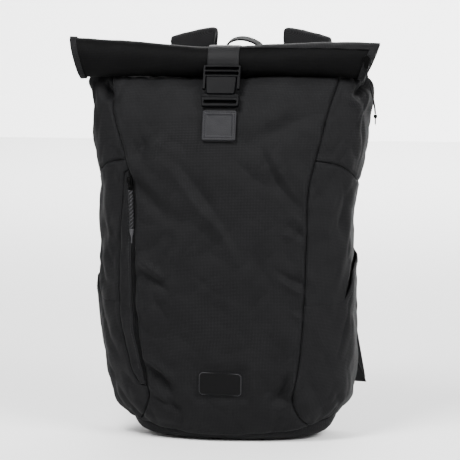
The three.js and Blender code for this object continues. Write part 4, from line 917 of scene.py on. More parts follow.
def slots_between_bars(left, width, height, bar):
    """The two slots of a ladder whose three bars are as wide as its rim. It hangs down from 0."""
    slot = (height - 3 * bar) / 2
    return [rounded(left + bar, low, width - 2 * bar, slot, 0.8, 3)
            for low in (-height + bar, -height + 2 * bar + slot)]


def axes_matrix(origin, right, upward, out):
    """A matrix from three directions and a place in millimetres."""
    columns = np.column_stack([right, upward, out])
    return Matrix.Translation(Vector(np.asarray(origin) * MM)) @ Matrix(columns.tolist()).to_4x4()


buckle_plane = axes_matrix(buckle_top, (1, 0, 0), strap_line, plane_out)
print("buckle plane", [round(value, 3) for value in buckle_plane.translation])

# %% The buckle's two halves
half_buckle = BUCKLE_WIDTH / 2
ladder_slots = slots_between_bars(-half_buckle, BUCKLE_WIDTH, LADDER_HEIGHT, RIM)
tongue_length = SOCKET_HEIGHT * 0.7
ladder_outline = rounded(-half_buckle, -LADDER_HEIGHT, BUCKLE_WIDTH, LADDER_HEIGHT, 1.8)
male = [plate("ladder", [ladder_outline, *ladder_slots], 0, BUCKLE_THICK, 0.7, buckle_plane)]
arm_inside, arm_low = SOCKET_WIDTH / 2 + GAP, -LADDER_HEIGHT - tongue_length
arm_width = half_buckle - arm_inside
for left in (-arm_inside - arm_width, arm_inside):
    male.append(plate("arm", [rounded(left, arm_low, arm_width, tongue_length + 1.5, 1.2)],
                      0.2, BUCKLE_THICK - 0.2, 0.6, buckle_plane))
# Fine grip ribs on the ladder's middle bar, which keep the webbing from slipping
GRIPS, GRIP_SPACING = 15, 2.4
grip_low = -LADDER_HEIGHT + RIM + (LADDER_HEIGHT - 3 * RIM) / 2 + 0.3
for index in range(GRIPS):
    left = (index - GRIPS // 2) * GRIP_SPACING - 0.5
    male.append(plate("grip", [rounded(left, grip_low, 1.0, RIM - 0.6, 0.3, 2)],
                      BUCKLE_THICK - 0.5, BUCKLE_THICK + 0.45, 0.2, buckle_plane))
buckle_male = shade_by_angle(join("buckle_ladder", male))


socket_low = socket_top - SOCKET_HEIGHT
share_up = lambda y: float(np.clip((y - socket_low) / SOCKET_HEIGHT, 0, 1))
narrowing = lambda y: mix(SOCKET_FOOT / SOCKET_WIDTH, 1.0, share_up(y))
socket_outline = [(x * narrowing(y), y)
                  for x, y in rounded(-SOCKET_WIDTH / 2, socket_low, SOCKET_WIDTH, SOCKET_HEIGHT, 2.2)]
frame_outline = rounded(-half_buckle, frame_low, BUCKLE_WIDTH, FRAME_HEIGHT - 1.0, 2.4)
frame_slot = rounded(-half_buckle + RIM + 0.4, slot_low, BUCKLE_WIDTH - 2 * RIM - 0.8, SLOT_HEIGHT, 0.9)
rib_outline = rounded(-half_buckle + 1, frame_low + FRAME_HEIGHT - 5.6, BUCKLE_WIDTH - 2, 2.0, 0.9)
female = [plate("socket", [socket_outline], 0, SOCKET_THICK, 1.0, buckle_plane),
          plate("frame", [frame_outline, frame_slot], 0, BUCKLE_THICK, 0.8, buckle_plane),
          plate("rib", [rib_outline], BUCKLE_THICK - 1, BUCKLE_THICK + 0.6, 0.5, buckle_plane)]
buckle_female = shade_by_angle(join("buckle_socket", female))
print("buckle:", len(buckle_male.data.polygons) + len(buckle_female.data.polygons), "faces")

# %% [markdown]
# ## Patches with rounded corners
# A patch is thin leather or rubber that bends with what it lies on. A square grid is pushed inside a rounded
# rectangle, so its corners are round and its faces stay small enough to bend. The distance to the edge then
# raises the rim, and the label has a round moulded border as well. Both patches are left bare.


# %% A rounded patch as a grid
def patch_grid(width, height, radius, columns, rows):
    """Places of a grid inside a rounded rectangle, and each place's distance to its edge."""
    v, u = grid_places(rows, columns)
    # Cells crowd towards the edge, where the rim needs them
    crowd = lambda share: np.sin((share - 0.5) * math.pi * 0.96) / np.sin(math.pi * 0.48)
    x, y = crowd(u) * width / 2, crowd(v) * height / 2
    over_x = np.maximum(np.abs(x) - (width / 2 - radius), 0)
    over_y = np.maximum(np.abs(y) - (height / 2 - radius), 0)
    far = np.hypot(over_x, over_y)
    square = np.maximum(over_x, over_y)
    pull = np.where(far > 1e-9, square / np.maximum(far, 1e-9), 1.0)
    x = np.sign(x) * (np.minimum(np.abs(x), width / 2 - radius) + over_x * pull)
    y = np.sign(y) * (np.minimum(np.abs(y), height / 2 - radius) + over_y * pull)
    inner = np.minimum(width / 2 - np.abs(x), height / 2 - np.abs(y))
    corner = (over_x > 0) & (over_y > 0)
    edge = np.where(corner, radius - square, inner)
    return x, y, edge


def rounded_lip(edge, thick, radius=0.8):
    """The face's height near the edge, rounded over like a cut and dyed edge."""
    share = np.clip(edge / radius, 0, 1)
    return thick - radius * (1 - np.sqrt(np.clip(1 - (1 - share) ** 2, 0, 1)))


patch_x, patch_y, patch_edge = patch_grid(PATCH_WIDTH, PATCH_HEIGHT, 1.8, 72, 64)
# The border stands proud of the field, and its stitches sit in a shallow groove
border = smooth(5.2, 4.2, patch_edge) * 1.0 - 0.5 * np.exp(-((patch_edge - 2.3) / 0.5) ** 2)
patch_dents = 0.12 * lattice_noise(patch_x / 9, patch_y / 9, 12)
patch_face = rounded_lip(patch_edge, PATCH_THICK - 0.9) + border + patch_dents
bend_line = unit((strap_bend - strap_foot) * [0, 1, 1])
patch_out = np.array([0, -bend_line[2], bend_line[1]])
patch_origin = strap_bend * [0, 1, 1] + patch_out * (WEB_THICK / 2 + GAP)


def on_patch(x, y, height):
    """A place of the leather patch in the bag's frame."""
    drop = y - PATCH_HEIGHT / 2 + 1
    aside = np.stack([x, 0 * x, 0 * x], -1)
    return patch_origin + aside + drop[..., None] * bend_line + height[..., None] * patch_out


leather_patch = slab("leather_patch", on_patch(patch_x, patch_y, patch_face),
                     on_patch(patch_x, patch_y, 0 * patch_x), np.stack([patch_x, patch_y], -1))
print("leather patch", PATCH_WIDTH, "by", PATCH_HEIGHT)

# %% The label low on the front, with its raised rim
LABEL_WIDTH, LABEL_HEIGHT, LABEL_THICK, LABEL_CORNER = 50.0, 27.0, 1.2, 5.0
LABEL_UP, LABEL_ASIDE, LABEL_TURN = 70.1, 3.0, math.radians(1.5)
label_x, label_y, label_edge = patch_grid(LABEL_WIDTH, LABEL_HEIGHT, LABEL_CORNER, 72, 48)
label_face = rounded_lip(label_edge, LABEL_THICK, 0.5) + 0.45 * np.exp(-((label_edge - 0.9) / 0.55) ** 2)


def on_label(x, y, height):
    """A place of the label in the bag's frame, on the folded front panel."""
    turned_x = x * math.cos(LABEL_TURN) + y * math.sin(LABEL_TURN) + LABEL_ASIDE
    turned_z = y * math.cos(LABEL_TURN) - x * math.sin(LABEL_TURN) + LABEL_UP
    up = up_at(turned_z)
    around = around_at(turned_x, up)
    base = plain_point(around, up)
    lift = wrinkles(around, up, base) + GAP + height
    return base + outward_at(around, up) * lift[..., None]


label_patch = slab("rubber_label", on_label(label_x, label_y, label_face),
                   on_label(label_x, label_y, 0 * label_x - 0.6), np.stack([label_x, label_y], -1))


def ring_tube(name, points, radius):
    """A closed round tube through points in millimetres."""
    curve = bpy.data.curves.new(name, "CURVE")
    curve.dimensions = "3D"
    closed_spline(curve, points)
    curve.bevel_depth = radius * MM
    curve.bevel_resolution = 2
    mesh = mesh_of(put(name, curve))
    shade_smooth(mesh)
    return put(name, mesh)


RIM_INSET = 0.7
rim_x, rim_y = np.array(rounded(
    -LABEL_WIDTH / 2 + RIM_INSET, -LABEL_HEIGHT / 2 + RIM_INSET, LABEL_WIDTH - 2 * RIM_INSET,
    LABEL_HEIGHT - 2 * RIM_INSET, LABEL_CORNER - RIM_INSET, 10)).T
label_rim = ring_tube("label_rim", on_label(rim_x, rim_y, 0 * rim_x + LABEL_THICK), 0.5)
print("label", LABEL_WIDTH, "by", LABEL_HEIGHT)

# %% [markdown]
# ## Geometry Nodes for what repeats
# Hundreds of stitches and zip coils are one small shape set along a line. A tree takes the line, puts points
# on it at a spacing, turns the shape along the line and away from the cloth, and makes real mesh of it. The
# same tree serves every seam: only its inputs change.


# %% One helper for nodes, and the tree that sets a shape along a line
def add_node(tree, kind, inputs=None, **settings):
    """A node with its settings and its inputs, each a value or another node's output."""
    made = tree.nodes.new(kind)
    for name, value in settings.items():
        setattr(made, name, value)
    for name, value in (inputs or {}).items():
        if isinstance(value, bpy.types.NodeSocket):
            tree.links.new(value, made.inputs[name])
        else:
            made.inputs[name].default_value = value
    return made


def line_tree(name, sides, rings):
    """A tree that sets beads of a length, width and height at a spacing along a line of edges."""
    tree = bpy.data.node_groups.new(name, "GeometryNodeTree")
    tree.interface.new_socket("Line", in_out="INPUT", socket_type="NodeSocketGeometry")
    for socket in ("Spacing", "Length", "Width", "Height", "Slant"):
        tree.interface.new_socket(socket, in_out="INPUT", socket_type="NodeSocketFloat")
    tree.interface.new_socket("Finish", in_out="INPUT", socket_type="NodeSocketMaterial")
    tree.interface.new_socket("Beads", in_out="OUTPUT", socket_type="NodeSocketGeometry")
    given = add_node(tree, "NodeGroupInput").outputs
    outward = add_node(tree, "GeometryNodeInputNamedAttribute", {"Name": "outward"}, data_type="FLOAT_VECTOR")
    curve = add_node(tree, "GeometryNodeMeshToCurve", {"Mesh": given["Line"]})
    spaced = add_node(tree, "GeometryNodeResampleCurve",
                      {"Curve": curve.outputs["Curve"], "Length": given["Spacing"]}, mode="LENGTH")
    tangent = add_node(tree, "GeometryNodeInputTangent")
    turned = add_node(tree, "FunctionNodeAlignRotationToVector",
                      {"Vector": tangent.outputs["Tangent"]}, axis="X")
    upright = add_node(tree, "FunctionNodeAlignRotationToVector",
                       {"Rotation": turned.outputs["Rotation"], "Vector": outward.outputs["Attribute"]},
                       axis="Z", pivot_axis="X")
    slant = add_node(tree, "ShaderNodeCombineXYZ", {"Z": given["Slant"]})
    slanted = add_node(tree, "FunctionNodeRotateRotation",
                       {"Rotation": upright.outputs["Rotation"], "Rotate By": slant.outputs["Vector"]},
                       rotation_space="LOCAL")
    bead = add_node(tree, "GeometryNodeMeshUVSphere", {"Segments": sides, "Rings": rings, "Radius": 0.5})
    size = add_node(tree, "ShaderNodeCombineXYZ",
                    {"X": given["Length"], "Y": given["Width"], "Z": given["Height"]})
    placed = add_node(tree, "GeometryNodeInstanceOnPoints",
                      {"Points": spaced.outputs["Curve"], "Instance": bead.outputs["Mesh"],
                       "Rotation": slanted.outputs["Rotation"], "Scale": size.outputs["Vector"]})
    real = add_node(tree, "GeometryNodeRealizeInstances", {"Geometry": placed.outputs["Instances"]})
    finished = add_node(tree, "GeometryNodeSetMaterial",
                        {"Geometry": real.outputs["Geometry"], "Material": given["Finish"]})
    end = add_node(tree, "NodeGroupOutput")
    tree.links.new(finished.outputs["Geometry"], end.inputs["Beads"])
    return tree


bead_tree = line_tree("beads_along_lines", 8, 5)
print("tree with", len(bead_tree.nodes), "nodes")


# %% Lines of edges in, plain beads out
def beads(name, lines, finish, spacing, length, width, height, slant=0.0):
    """Beads along lines. Each line is points with an outward direction for each, in millimetres."""
    points, edges, outwards = [], [], []
    for line, outward in lines:
        start = len(points)
        points += (np.asarray(line) * MM).tolist()
        outwards += np.broadcast_to(outward, np.shape(line)).tolist()
        edges += [(start + index, start + index + 1) for index in range(len(line) - 1)]
    mesh = bpy.data.meshes.new(name)
    mesh.from_pydata(points, edges, [])
    mesh.attributes.new("outward", "FLOAT_VECTOR", "POINT").data.foreach_set("vector", np.ravel(outwards))
    carrier = put(name, mesh)
    modifier = carrier.modifiers.new("beads", "NODES")
    modifier.node_group = bead_tree
    values = {"Spacing": spacing * MM, "Length": length * MM, "Width": width * MM, "Height": height * MM,
              "Slant": slant, "Finish": finish}
    for socket in bead_tree.interface.items_tree:
        if socket.in_out == "INPUT" and socket.name in values:
            modifier[socket.identifier] = values[socket.name]
    plain = mesh_of(carrier)
    shade_smooth(plain)
    return put(name, plain)


def line_on_skin(around, up, proud):
    """A line over the wrinkled skin, with its outward directions."""
    base, outward = plain_point(around, up), outward_at(around, up)
    return base + outward * (wrinkles(around, up, base) + proud)[..., None], outward


print("bead tools are ready")

# %% [markdown]
# ## Finishes
# Everything here is black, and only the finish tells the pieces apart: matt woven nylon, smoother webbing,
# half-gloss acetal, soft leather and rubber. Black cloth isn't 0: it reflects about three per cent and shows
# a faint sheen at grazing angles from its fibre ends. Each finish starts from what the real one is.


# %% Colours and the base of every finish
def linear(hex_colour):
    """An sRGB hex value as a linear colour."""
    values = [int(hex_colour[index:index + 2], 16) / 255 for index in (1, 3, 5)]
    straight = [value / 12.92 if value <= 0.04045 else ((value + 0.055) / 1.055) ** 2.4 for value in values]
    return (*straight, 1.0)


def finish(name, colour, roughness, ior, **sockets):
    """A material with a Principled surface, and its tree. Constant values go on the shader's own sockets."""
    material = bpy.data.materials.new(name)
    material.use_nodes = True
    shader = material.node_tree.nodes["Principled BSDF"]
    shader.inputs["Base Color"].default_value = linear(colour)
    shader.inputs["Roughness"].default_value = roughness
    shader.inputs["IOR"].default_value = ior
    for socket, value in sockets.items():
        shader.inputs[socket.replace("_", " ")].default_value = value
    return material, material.node_tree, shader


def tint(tree, shader, dark, light, factor):
    """Lets a pattern move the base colour between two close tones."""
    ramp = add_node(tree, "ShaderNodeMix", {"Factor": factor}, data_type="RGBA")
    ramp.inputs["A"].default_value, ramp.inputs["B"].default_value = linear(dark), linear(light)
    tree.links.new(ramp.outputs["Result"], shader.inputs["Base Color"])


def emboss(tree, shader, height, distance):
    """Lets a pattern raise the surface by a real distance in metres."""
    bump = add_node(tree, "ShaderNodeBump", {"Height": height, "Distance": distance, "Strength": 1.0})
    tree.links.new(bump.outputs["Normal"], shader.inputs["Normal"])


def pattern(tree, kind, place=None, **inputs):
    """A texture in a place's coordinates, or else in the object's own, so that it stays with the piece."""
    place = place or add_node(tree, "ShaderNodeTexCoord").outputs["Object"]
    return add_node(tree, f"ShaderNodeTex{kind}", {"Vector": place, **inputs}).outputs


def between(tree, value, **ends):
    """A pattern's values moved from one range to another."""
    ends = {name.replace("_", " "): end for name, end in ends.items()}
    return add_node(tree, "ShaderNodeMapRange", {"Value": value, **ends}).outputs["Result"]


def combined(tree, operation, *parts):
    """Patterns or numbers put together by one operation of arithmetic."""
    return add_node(tree, "ShaderNodeMath", dict(enumerate(parts)), operation=operation).outputs["Value"]


print("black nylon #2b2b2d is linear", [round(value, 4) for value in linear("#2b2b2d")])


# %% Woven cloths: nylon, base cloth, spacer mesh and webbing
def weave(tree, place, spacing):
    """Height of a plain weave: two sets of threads that cross, spacing in metres."""
    inputs = {"Vector": place, "Scale": math.pi / spacing / 10, "Distortion": 0.25, "Detail": 1.0,
              "Detail Scale": 2.0}
    warp, weft = (add_node(tree, "ShaderNodeTexWave", inputs, bands_direction=direction).outputs["Fac"]
                  for direction in ("X", "Y"))
    return combined(tree, "MULTIPLY", warp, weft)


def woven(name, dark, light, roughness, spacing, relief, sheen, shine=0.08):
    """A woven cloth. Real threads are too fine for the picture, so they are drawn coarser."""
    material, tree, shader = finish(name, dark, roughness, 1.53, Sheen_Weight=sheen, Sheen_Roughness=0.45,
                                    Specular_IOR_Level=shine)
    place = add_node(tree, "ShaderNodeUVMap", uv_map="cut").outputs["UV"]
    threads = weave(tree, place, spacing)
    cloudy = pattern(tree, "Noise", place, Scale=34.0, Detail=5.0, Roughness=0.6)["Fac"]
    slubs = pattern(tree, "Noise", place, Scale=420.0, Detail=2.0)["Fac"]
    tone = combined(tree, "MULTIPLY", combined(tree, "MULTIPLY", cloudy, slubs), threads)
    tint(tree, shader, dark, light, between(tree, tone, From_Max=0.25))
    emboss(tree, shader, combined(tree, "MULTIPLY_ADD", slubs, 0.5, threads), relief)
    return material


# Body cloth: 600 denier nylon, a plain weave with a thread every 0.5 mm, drawn 1.7 mm apart
shell_nylon = woven("woven_shell_nylon", "#060607", "#1c1c1d", 0.72, 0.0017, 0.00022, 0.012)
# Base cloth: a denser, rougher ballistic weave
base_nylon = woven("ballistic_base_nylon", "#0a0a0b", "#19191a", 0.78, 0.0022, 0.0002, 0.006)
# Roll: the same nylon, coated inside, so a little smoother. Its colour is darker as painted shade, for the
# roll's face turns down from the light above
shaded_roll_cloth = woven("roll_nylon_in_painted_shade", "#040404", "#0d0d0e", 0.62, 0.0017, 0.00014, 0.0, 0.03)
# Webbing: 38 mm nylon with ribs across it about every 1.2 mm
webbing_nylon = woven("ribbed_nylon_webbing", "#0e0e0f", "#1e1e1f", 0.5, 0.0013, 0.00022, 0.01)
# Zip tape: a fine matt knit
zip_knit = woven("knitted_zip_tape", "#050506", "#0e0e0f", 0.75, 0.0011, 0.0001, 0.02)
# Sewing thread: bonded polyester, round and slightly glossy
thread, tree, shader = finish("bonded_thread", "#141415", 0.4, 1.55, Specular_IOR_Level=0.2)
tint(tree, shader, "#101011", "#262628", pattern(tree, "Noise", Scale=900.0, Detail=2.0)["Fac"])
print("cloths:", shell_nylon.name, base_nylon.name, webbing_nylon.name)

# %% Spacer mesh on the back, with its open holes
mesh_fabric, tree, shader = finish("air_spacer_mesh", "#111112", 0.85, 1.5, Sheen_Weight=0.02,
                                   Sheen_Roughness=0.5, Specular_IOR_Level=0.08)
# Cells of a knitted spacer mesh are about 3 mm across
cells = pattern(tree, "Voronoi", Scale=330.0, Randomness=0.35)["Distance"]
holes = between(tree, cells, From_Min=0.18, From_Max=0.42)
# The open holes are coloured darker as painted shade inside them, and the same pattern sinks them as bumps
tint(tree, shader, "#020202", "#171718", holes)
emboss(tree, shader, holes, 0.0006)
print("mesh cells 3 mm")

# %% Moulded acetal, leather, rubber, cast zinc and braided cord
acetal, tree, shader = finish("moulded_acetal", "#0a0a0b", 0.36, 1.48, Specular_IOR_Level=0.03)
tint(tree, shader, "#030304", "#070708", pattern(tree, "Noise", Scale=60.0, Detail=4.0)["Fac"])
# Spark erosion gives the mould, and so the plastic, a fine even grain
emboss(tree, shader, pattern(tree, "Noise", Scale=1300.0, Detail=3.0)["Fac"], 0.00005)

leather, tree, shader = finish("pigmented_leather", "#18181a", 0.55, 1.5, Specular_IOR_Level=0.16)
pores = pattern(tree, "Voronoi", Scale=900.0)["Distance"]
creased = pattern(tree, "Noise", Scale=120.0, Detail=6.0, Roughness=0.65)["Fac"]
tint(tree, shader, "#121214", "#1c1c1f", creased)
# Grain of embossed leather: cells a millimetre across, a tenth deep
emboss(tree, shader, combined(tree, "ADD", pores, creased), 0.00012)

rubber, tree, shader = finish("matt_label_rubber", "#060607", 0.6, 1.52, Specular_IOR_Level=0.05)
dust = pattern(tree, "Noise", Scale=700.0, Detail=3.0)["Fac"]
tint(tree, shader, "#060606", "#0f0f10", dust)
emboss(tree, shader, dust, 0.00004)

# The plating is matt black and hides the metal under it
zinc, tree, shader = finish("black_plated_zinc", "#030303", 0.35, 1.5, Metallic=0.0, Specular_IOR_Level=0.06)
plating = pattern(tree, "Noise", Scale=400.0, Detail=4.0)["Fac"]
tree.links.new(between(tree, plating, To_Min=0.26, To_Max=0.45), shader.inputs["Roughness"])
tint(tree, shader, "#010101", "#040404", plating)

# The label's rim is a paler rubber than its field, a painted highlight where light catches its raised edge.
# The front pull's tip is made of the same pale rubber
pale_rubber_and_highlight = finish("pale_rubber_painted_highlight", "#2c2c2e", 0.4, 1.5, Specular_IOR_Level=0.2)[0]

braid, tree, shader = finish("flecked_braided_cord", "#0d0d0e", 0.6, 1.53, Specular_IOR_Level=0.15)
around_cord = add_node(tree, "ShaderNodeUVMap", uv_map="cut").outputs["UV"]
# Yarns cross both ways round the cord's sheath, and the pale tracer yarns are among those of one way
waves = []
for turn in (0.9, -0.9):
    way = add_node(tree, "ShaderNodeMapping", {"Vector": around_cord, "Rotation": (0, 0, turn)})
    waves.append(pattern(tree, "Wave", way.outputs["Vector"], Scale=92.0, Distortion=1.2, Detail=2.0)["Fac"])
tint(tree, shader, "#020202", "#38383c", between(tree, waves[0], From_Min=0.82, From_Max=0.99))
emboss(tree, shader, combined(tree, "MULTIPLY", *waves), 0.0004)
print("hard and soft finishes:", acetal.name, leather.name, rubber.name, zinc.name, braid.name)

# %% [markdown]
# ## Zips, sliders and pulls
# The front pocket's zip shows as a coil in the sunk tape. Its slider is a small cast body with a bridge, and
# a flecked cord is looped through the bridge and ends in a heat-shrunk tip. The cords are made before the
# harness, and each is a closed tube along the frame's own route.

# %% The coil and the slider
coil_up = np.linspace(STRIP_LOW + 0.004, STRIP_HIGH - 0.004, 260)
coil_x = seam_across(-1, coil_up) - HALF_GAP - ZIP_WIDTH * strip_share(coil_up) / 2
coil_line = line_on_skin(around_at(coil_x, coil_up), coil_up, -0.75)
zip_coil = beads("zip_coil", [coil_line], zip_knit, 1.5, 0.9, 2.2, 1.0, 0.25)
SLIDER_UP, SLIDER_WIDTH, SLIDER_LENGTH, SLIDER_THICK = 0.714 * BODY_HEIGHT, 8.0, 15.0, 3.0


def seam_point(height, proud, aside=0.0):
    """A place beside the front zip at a height, as far proud of the main folds."""
    up = front_at(height)[0]
    around = float(around_at(seam_across(-1, up) - ZIP_WIDTH / 2 + aside, up))
    lifted = fold_rise(np.array(around), np.array(up)) + proud
    return plain_point(around, up) + outward_at(np.array(around), np.array(up)) * lifted


def slider(name, top, low, right, bridge=True):
    """A zip slider between two points: a waisted body, two rails and the bridge that holds the pull."""
    upward = unit(top - low)
    right = unit(right - upward * (right @ upward))
    out = np.cross(right, upward)
    middle = mix(top, low, 0.5)
    place = axes_matrix(middle, right, upward, out)
    half = float(np.linalg.norm(top - low)) / 2
    body = [(0, half), (2.6, half - 0.6), (3.6, half - 3.2), (2.9, half - 6.5), (2.7, -half + 0.8),
            (2.2, -half)]
    outline = body + [(-x, y) for x, y in reversed(body[1:])]
    pieces = [plate("body", [outline[::-1]], -SLIDER_THICK / 2, SLIDER_THICK / 2 - 0.3, 0.45, place)]
    if bridge:
        arch = [(half - 2.2, 0.6), (half - 3.0, 2.1), (0.4, 2.7), (-half + 4.2, 2.0), (-half + 3.2, 0.6)]
        arch = [middle + upward * y + out * z for y, z in arch]
        pieces.append(band("bridge", arch, right, 1.3, 0.55, 24, 12, 0.8))
    return shade_by_angle(join(name, pieces), 40)


slider_top, slider_low = (seam_point(height, GAP + SLIDER_THICK / 2 + 0.6)
                          for height in (SLIDER_UP, SLIDER_UP - SLIDER_LENGTH))
slider_right = seam_point(SLIDER_UP - 7, 2.0, 2) - seam_point(SLIDER_UP - 7, 2.0, -2)
front_slider = slider("front_zip_slider_body", slider_top, slider_low, slider_right)
print("coil:", len(zip_coil.data.polygons), "faces")

# %% The two cords on their routes, and their tips
PULL_WIDTH, PULL_LENGTH, THIN_PULL = 5.6, 44.0, 2.0


def cord_tube(name, line, diameter, count, sides, relief=0.0, twist=0.0):
    """A round cord along a line. relief is how far its braid stands out, as a share of the radius."""
    path = smooth_line(line, count)
    along = unit(np.gradient(path, axis=0))
    right = unit(np.cross(along, [0, -1, 0.02]))
    out = np.cross(along, right)
    angle, steps = np.meshgrid(turn_angles(sides), steps_along(path))
    braid_rise = np.cos(angle * 3 - steps * twist) * np.cos(angle * 3 + steps * twist)
    radius = diameter / 2 * (1 + relief * braid_rise)
    x, y = radius * np.cos(angle), radius * np.sin(angle)
    rings = path[:, None] + right[:, None] * x[..., None] + out[:, None] * y[..., None]
    return tube_from_rings(name, rings, np.stack([angle * diameter / 2, steps], -1)), path


pull_top = SLIDER_UP - SLIDER_LENGTH - 2 * GAP
pull_route = np.array([seam_point(pull_top - share * PULL_LENGTH, PULL_WIDTH / 2 + 1.4)
                       for share in (0, 0.34, 0.67, 1)])
front_cord, front_path = cord_tube("front_pull_cord", pull_route, PULL_WIDTH, 110, 24, 0.05, 0.9)


def turned_tip(name, origin, profile):
    """A lathed tip that hangs from a point. profile is (radius, drop) in millimetres."""
    profile = smooth_line(profile, 36)
    angle, radius = np.meshgrid(turn_angles(28), profile[:, 0])
    drop = profile[:, 1:] + 0 * angle
    rings = np.stack([radius * np.cos(angle), radius * np.sin(angle), -drop], -1) + origin
    return tube_from_rings(name, rings, np.stack([angle, drop], -1))


tip_start = pull_route[-1] - [0, 0, 1.5 * GAP]
front_tip = turned_tip("front_pull_tip", tip_start, [
    (2.3, 0.0), (2.75, 0.5), (2.5, 2.5), (1.95, 5.8), (1.1, 8.6), (0.8, 10.2), (0.75, 14.0), (0.85, 16.4),
    (0.45, 16.95)])
# The slider sits just past the roll's end hem
PAST_HEM = 4.1
roll_end = roll_point(0.985, math.pi, 0) + [PAST_HEM, 0, 0]
top_slider_high = roll_end + [-SLIDER_WIDTH / 2, -GAP * 2.5 - SLIDER_THICK / 2, SLIDER_LENGTH / 2]
top_slider_low = top_slider_high - [0, 0, SLIDER_LENGTH]
top_slider = slider("top_zip_slider_body", top_slider_high, top_slider_low, np.array([1.0, 0, 0]), False)
THIN_ROUTE = np.array([(0, 0, 0), (1.5, 0, -12), (6, 0, -27), (9, 0, -40), (10.5, 0, -52)], float)
thin_route = top_slider_low - [0, 0, GAP] + THIN_ROUTE
top_cord, top_path = cord_tube("top_pull_cord", thin_route, THIN_PULL, 90, 14)
top_tip = turned_tip("top_pull_bead", thin_route[-1] - [0, 0, GAP + 0.1], [
    (1.2, 0.0), (1.7, 0.2), (2.2, 1.7), (1.8, 3.8), (0.9, 4.6), (0.72, 6.0), (0.72, 10.6), (0.5, 11.8)])


def length_of(path):
    return float(steps_along(path)[-1]) * MM


print("cords:", round(length_of(front_path), 4), round(length_of(top_path), 4), "m")

# %% [markdown]
# ## The harness on the back
# Shoulder straps and back pads are foam in a sewn cover. Each cover starts as a plain shape, and a short
# cloth simulation with air pressure inside fills it, with the face against the back held still, so that it
# bulges as foam makes it. A seam band runs down each strap. The straps' lower ends carry ladder locks, and
# narrow webbing runs on to cloth wings at the base. The haul handle is a loop of webbing between the straps.

# %% Shoulder straps along the frame's stations
STRAP_WIDTH, STRAP_THICK, STRAP_CREST, STRAP_STAND, STRAP_SHIFT = 60.0, 12.0, 1.099 * BODY_HEIGHT, 46.0, 10.5
CREST_TILT = math.radians(13)
PUFF_VOXEL, PUFF_PRESSURE, PUFF_FRAMES, STRAP_PUFF, PAD_PUFF = 4.5, 4.0, 20, 2.2, 2.6
# Columns: across, out, up, wide and thick as shares of the sizes above
STRAP_STATIONS = np.array([
    (0.450, 0.00, 0.790, 0.90, 0.50), (0.450, 0.00, 0.815, 0.90, 0.55), (0.450, 0.12, 0.870, 0.92, 0.75),
    (0.455, 0.22, 0.935, 0.95, 0.90), (0.460, 0.34, 0.970, 1.03, 1.00), (0.465, 0.56, 0.990, 1.09, 1.00),
    (0.470, 0.78, 0.978, 1.07, 1.00), (0.480, 0.92, 0.935, 1.00, 1.00), (0.500, 0.98, 0.850, 1.00, 1.00),
    (0.540, 0.96, 0.740, 1.00, 1.00), (0.600, 0.88, 0.620, 0.96, 1.00), (0.670, 0.74, 0.510, 0.86, 0.95),
    (0.710, 0.64, 0.440, 0.72, 0.80),
])


def wall_back(height):
    """How far back the middle of the back wall is at a height."""
    up = min(height / BODY_HEIGHT, BACK_TOP - 0.01)
    return float(plain_point(2.0, up)[1])


def strap_line_points(side):
    """The middle line of a shoulder strap, with its half widths and half thicknesses."""
    centres = []
    for across, out, up, _, thick in STRAP_STATIONS:
        height = up * STRAP_CREST
        sewn = wall_back(height) + GAP + thick * STRAP_THICK / 2
        y = BACK_DEPTH + out * STRAP_STAND if out > 0 else sewn
        centres.append((side * across * HALF_WIDTH + STRAP_SHIFT, y, height))
    return np.array(centres), STRAP_STATIONS[:, 3] * STRAP_WIDTH / 2, STRAP_STATIONS[:, 4] * STRAP_THICK / 2


def work_out(made, kind, **settings):
    """Gives an object the mesh that one modifier makes of it."""
    modifier = made.modifiers.new(kind.lower(), kind)
    for setting, value in settings.items():
        setattr(modifier, setting, value)
    mesh = real_mesh(made)
    made.modifiers.clear()
    made.data = mesh


def vertex_rows(mesh, what="co"):
    """Places or normals of a mesh's points as an array."""
    rows = np.empty(len(mesh.vertices) * 3)
    mesh.vertices.foreach_get(what, rows)
    return rows.reshape(-1, 3)


def swell(made, cap):
    """Lets air pressure fill a sewn cover as foam does. The face against the bag's back stays where it is."""
    work_out(made, "REMESH", mode="VOXEL", voxel_size=PUFF_VOXEL * MM)
    before, normals = vertex_rows(made.data), vertex_rows(made.data, "normal")
    cloth = made.modifiers.new("cloth", "CLOTH")
    cloth.settings.quality = 5
    cloth.settings.use_pressure = True
    cloth.settings.uniform_pressure_force = PUFF_PRESSURE
    cloth.settings.effector_weights.gravity = 0.0
    cloth.collision_settings.use_collision = False
    for moment in range(1, PUFF_FRAMES + 1):
        bpy.context.scene.frame_set(moment)
    after = vertex_rows(made.evaluated_get(bpy.context.evaluated_depsgraph_get()).to_mesh())
    made.modifiers.clear()
    bpy.context.scene.frame_set(1)
    moved = after - before
    length = np.maximum(np.linalg.norm(moved, axis=1, keepdims=True), 1e-9)
    moved *= np.minimum(1, cap * MM / length) * smooth(-0.6, 0.1, normals[:, 1])[:, None]
    made.data.vertices.foreach_set("co", (before + moved).ravel())
    work_out(made, "SUBSURF", levels=1)
    print(made.name, "swelled by up to", round(float(np.linalg.norm(moved, axis=1).max() / MM), 1), "mm")
    places = vertex_rows(made.data)
    # The remesh has no UV map. The new one is three times as large, for the straps' finer weave
    set_uvs(made.data, 3 * np.stack([places[:, 0], places[:, 2] - places[:, 1]], -1))
    shade_smooth(made.data)
    return made


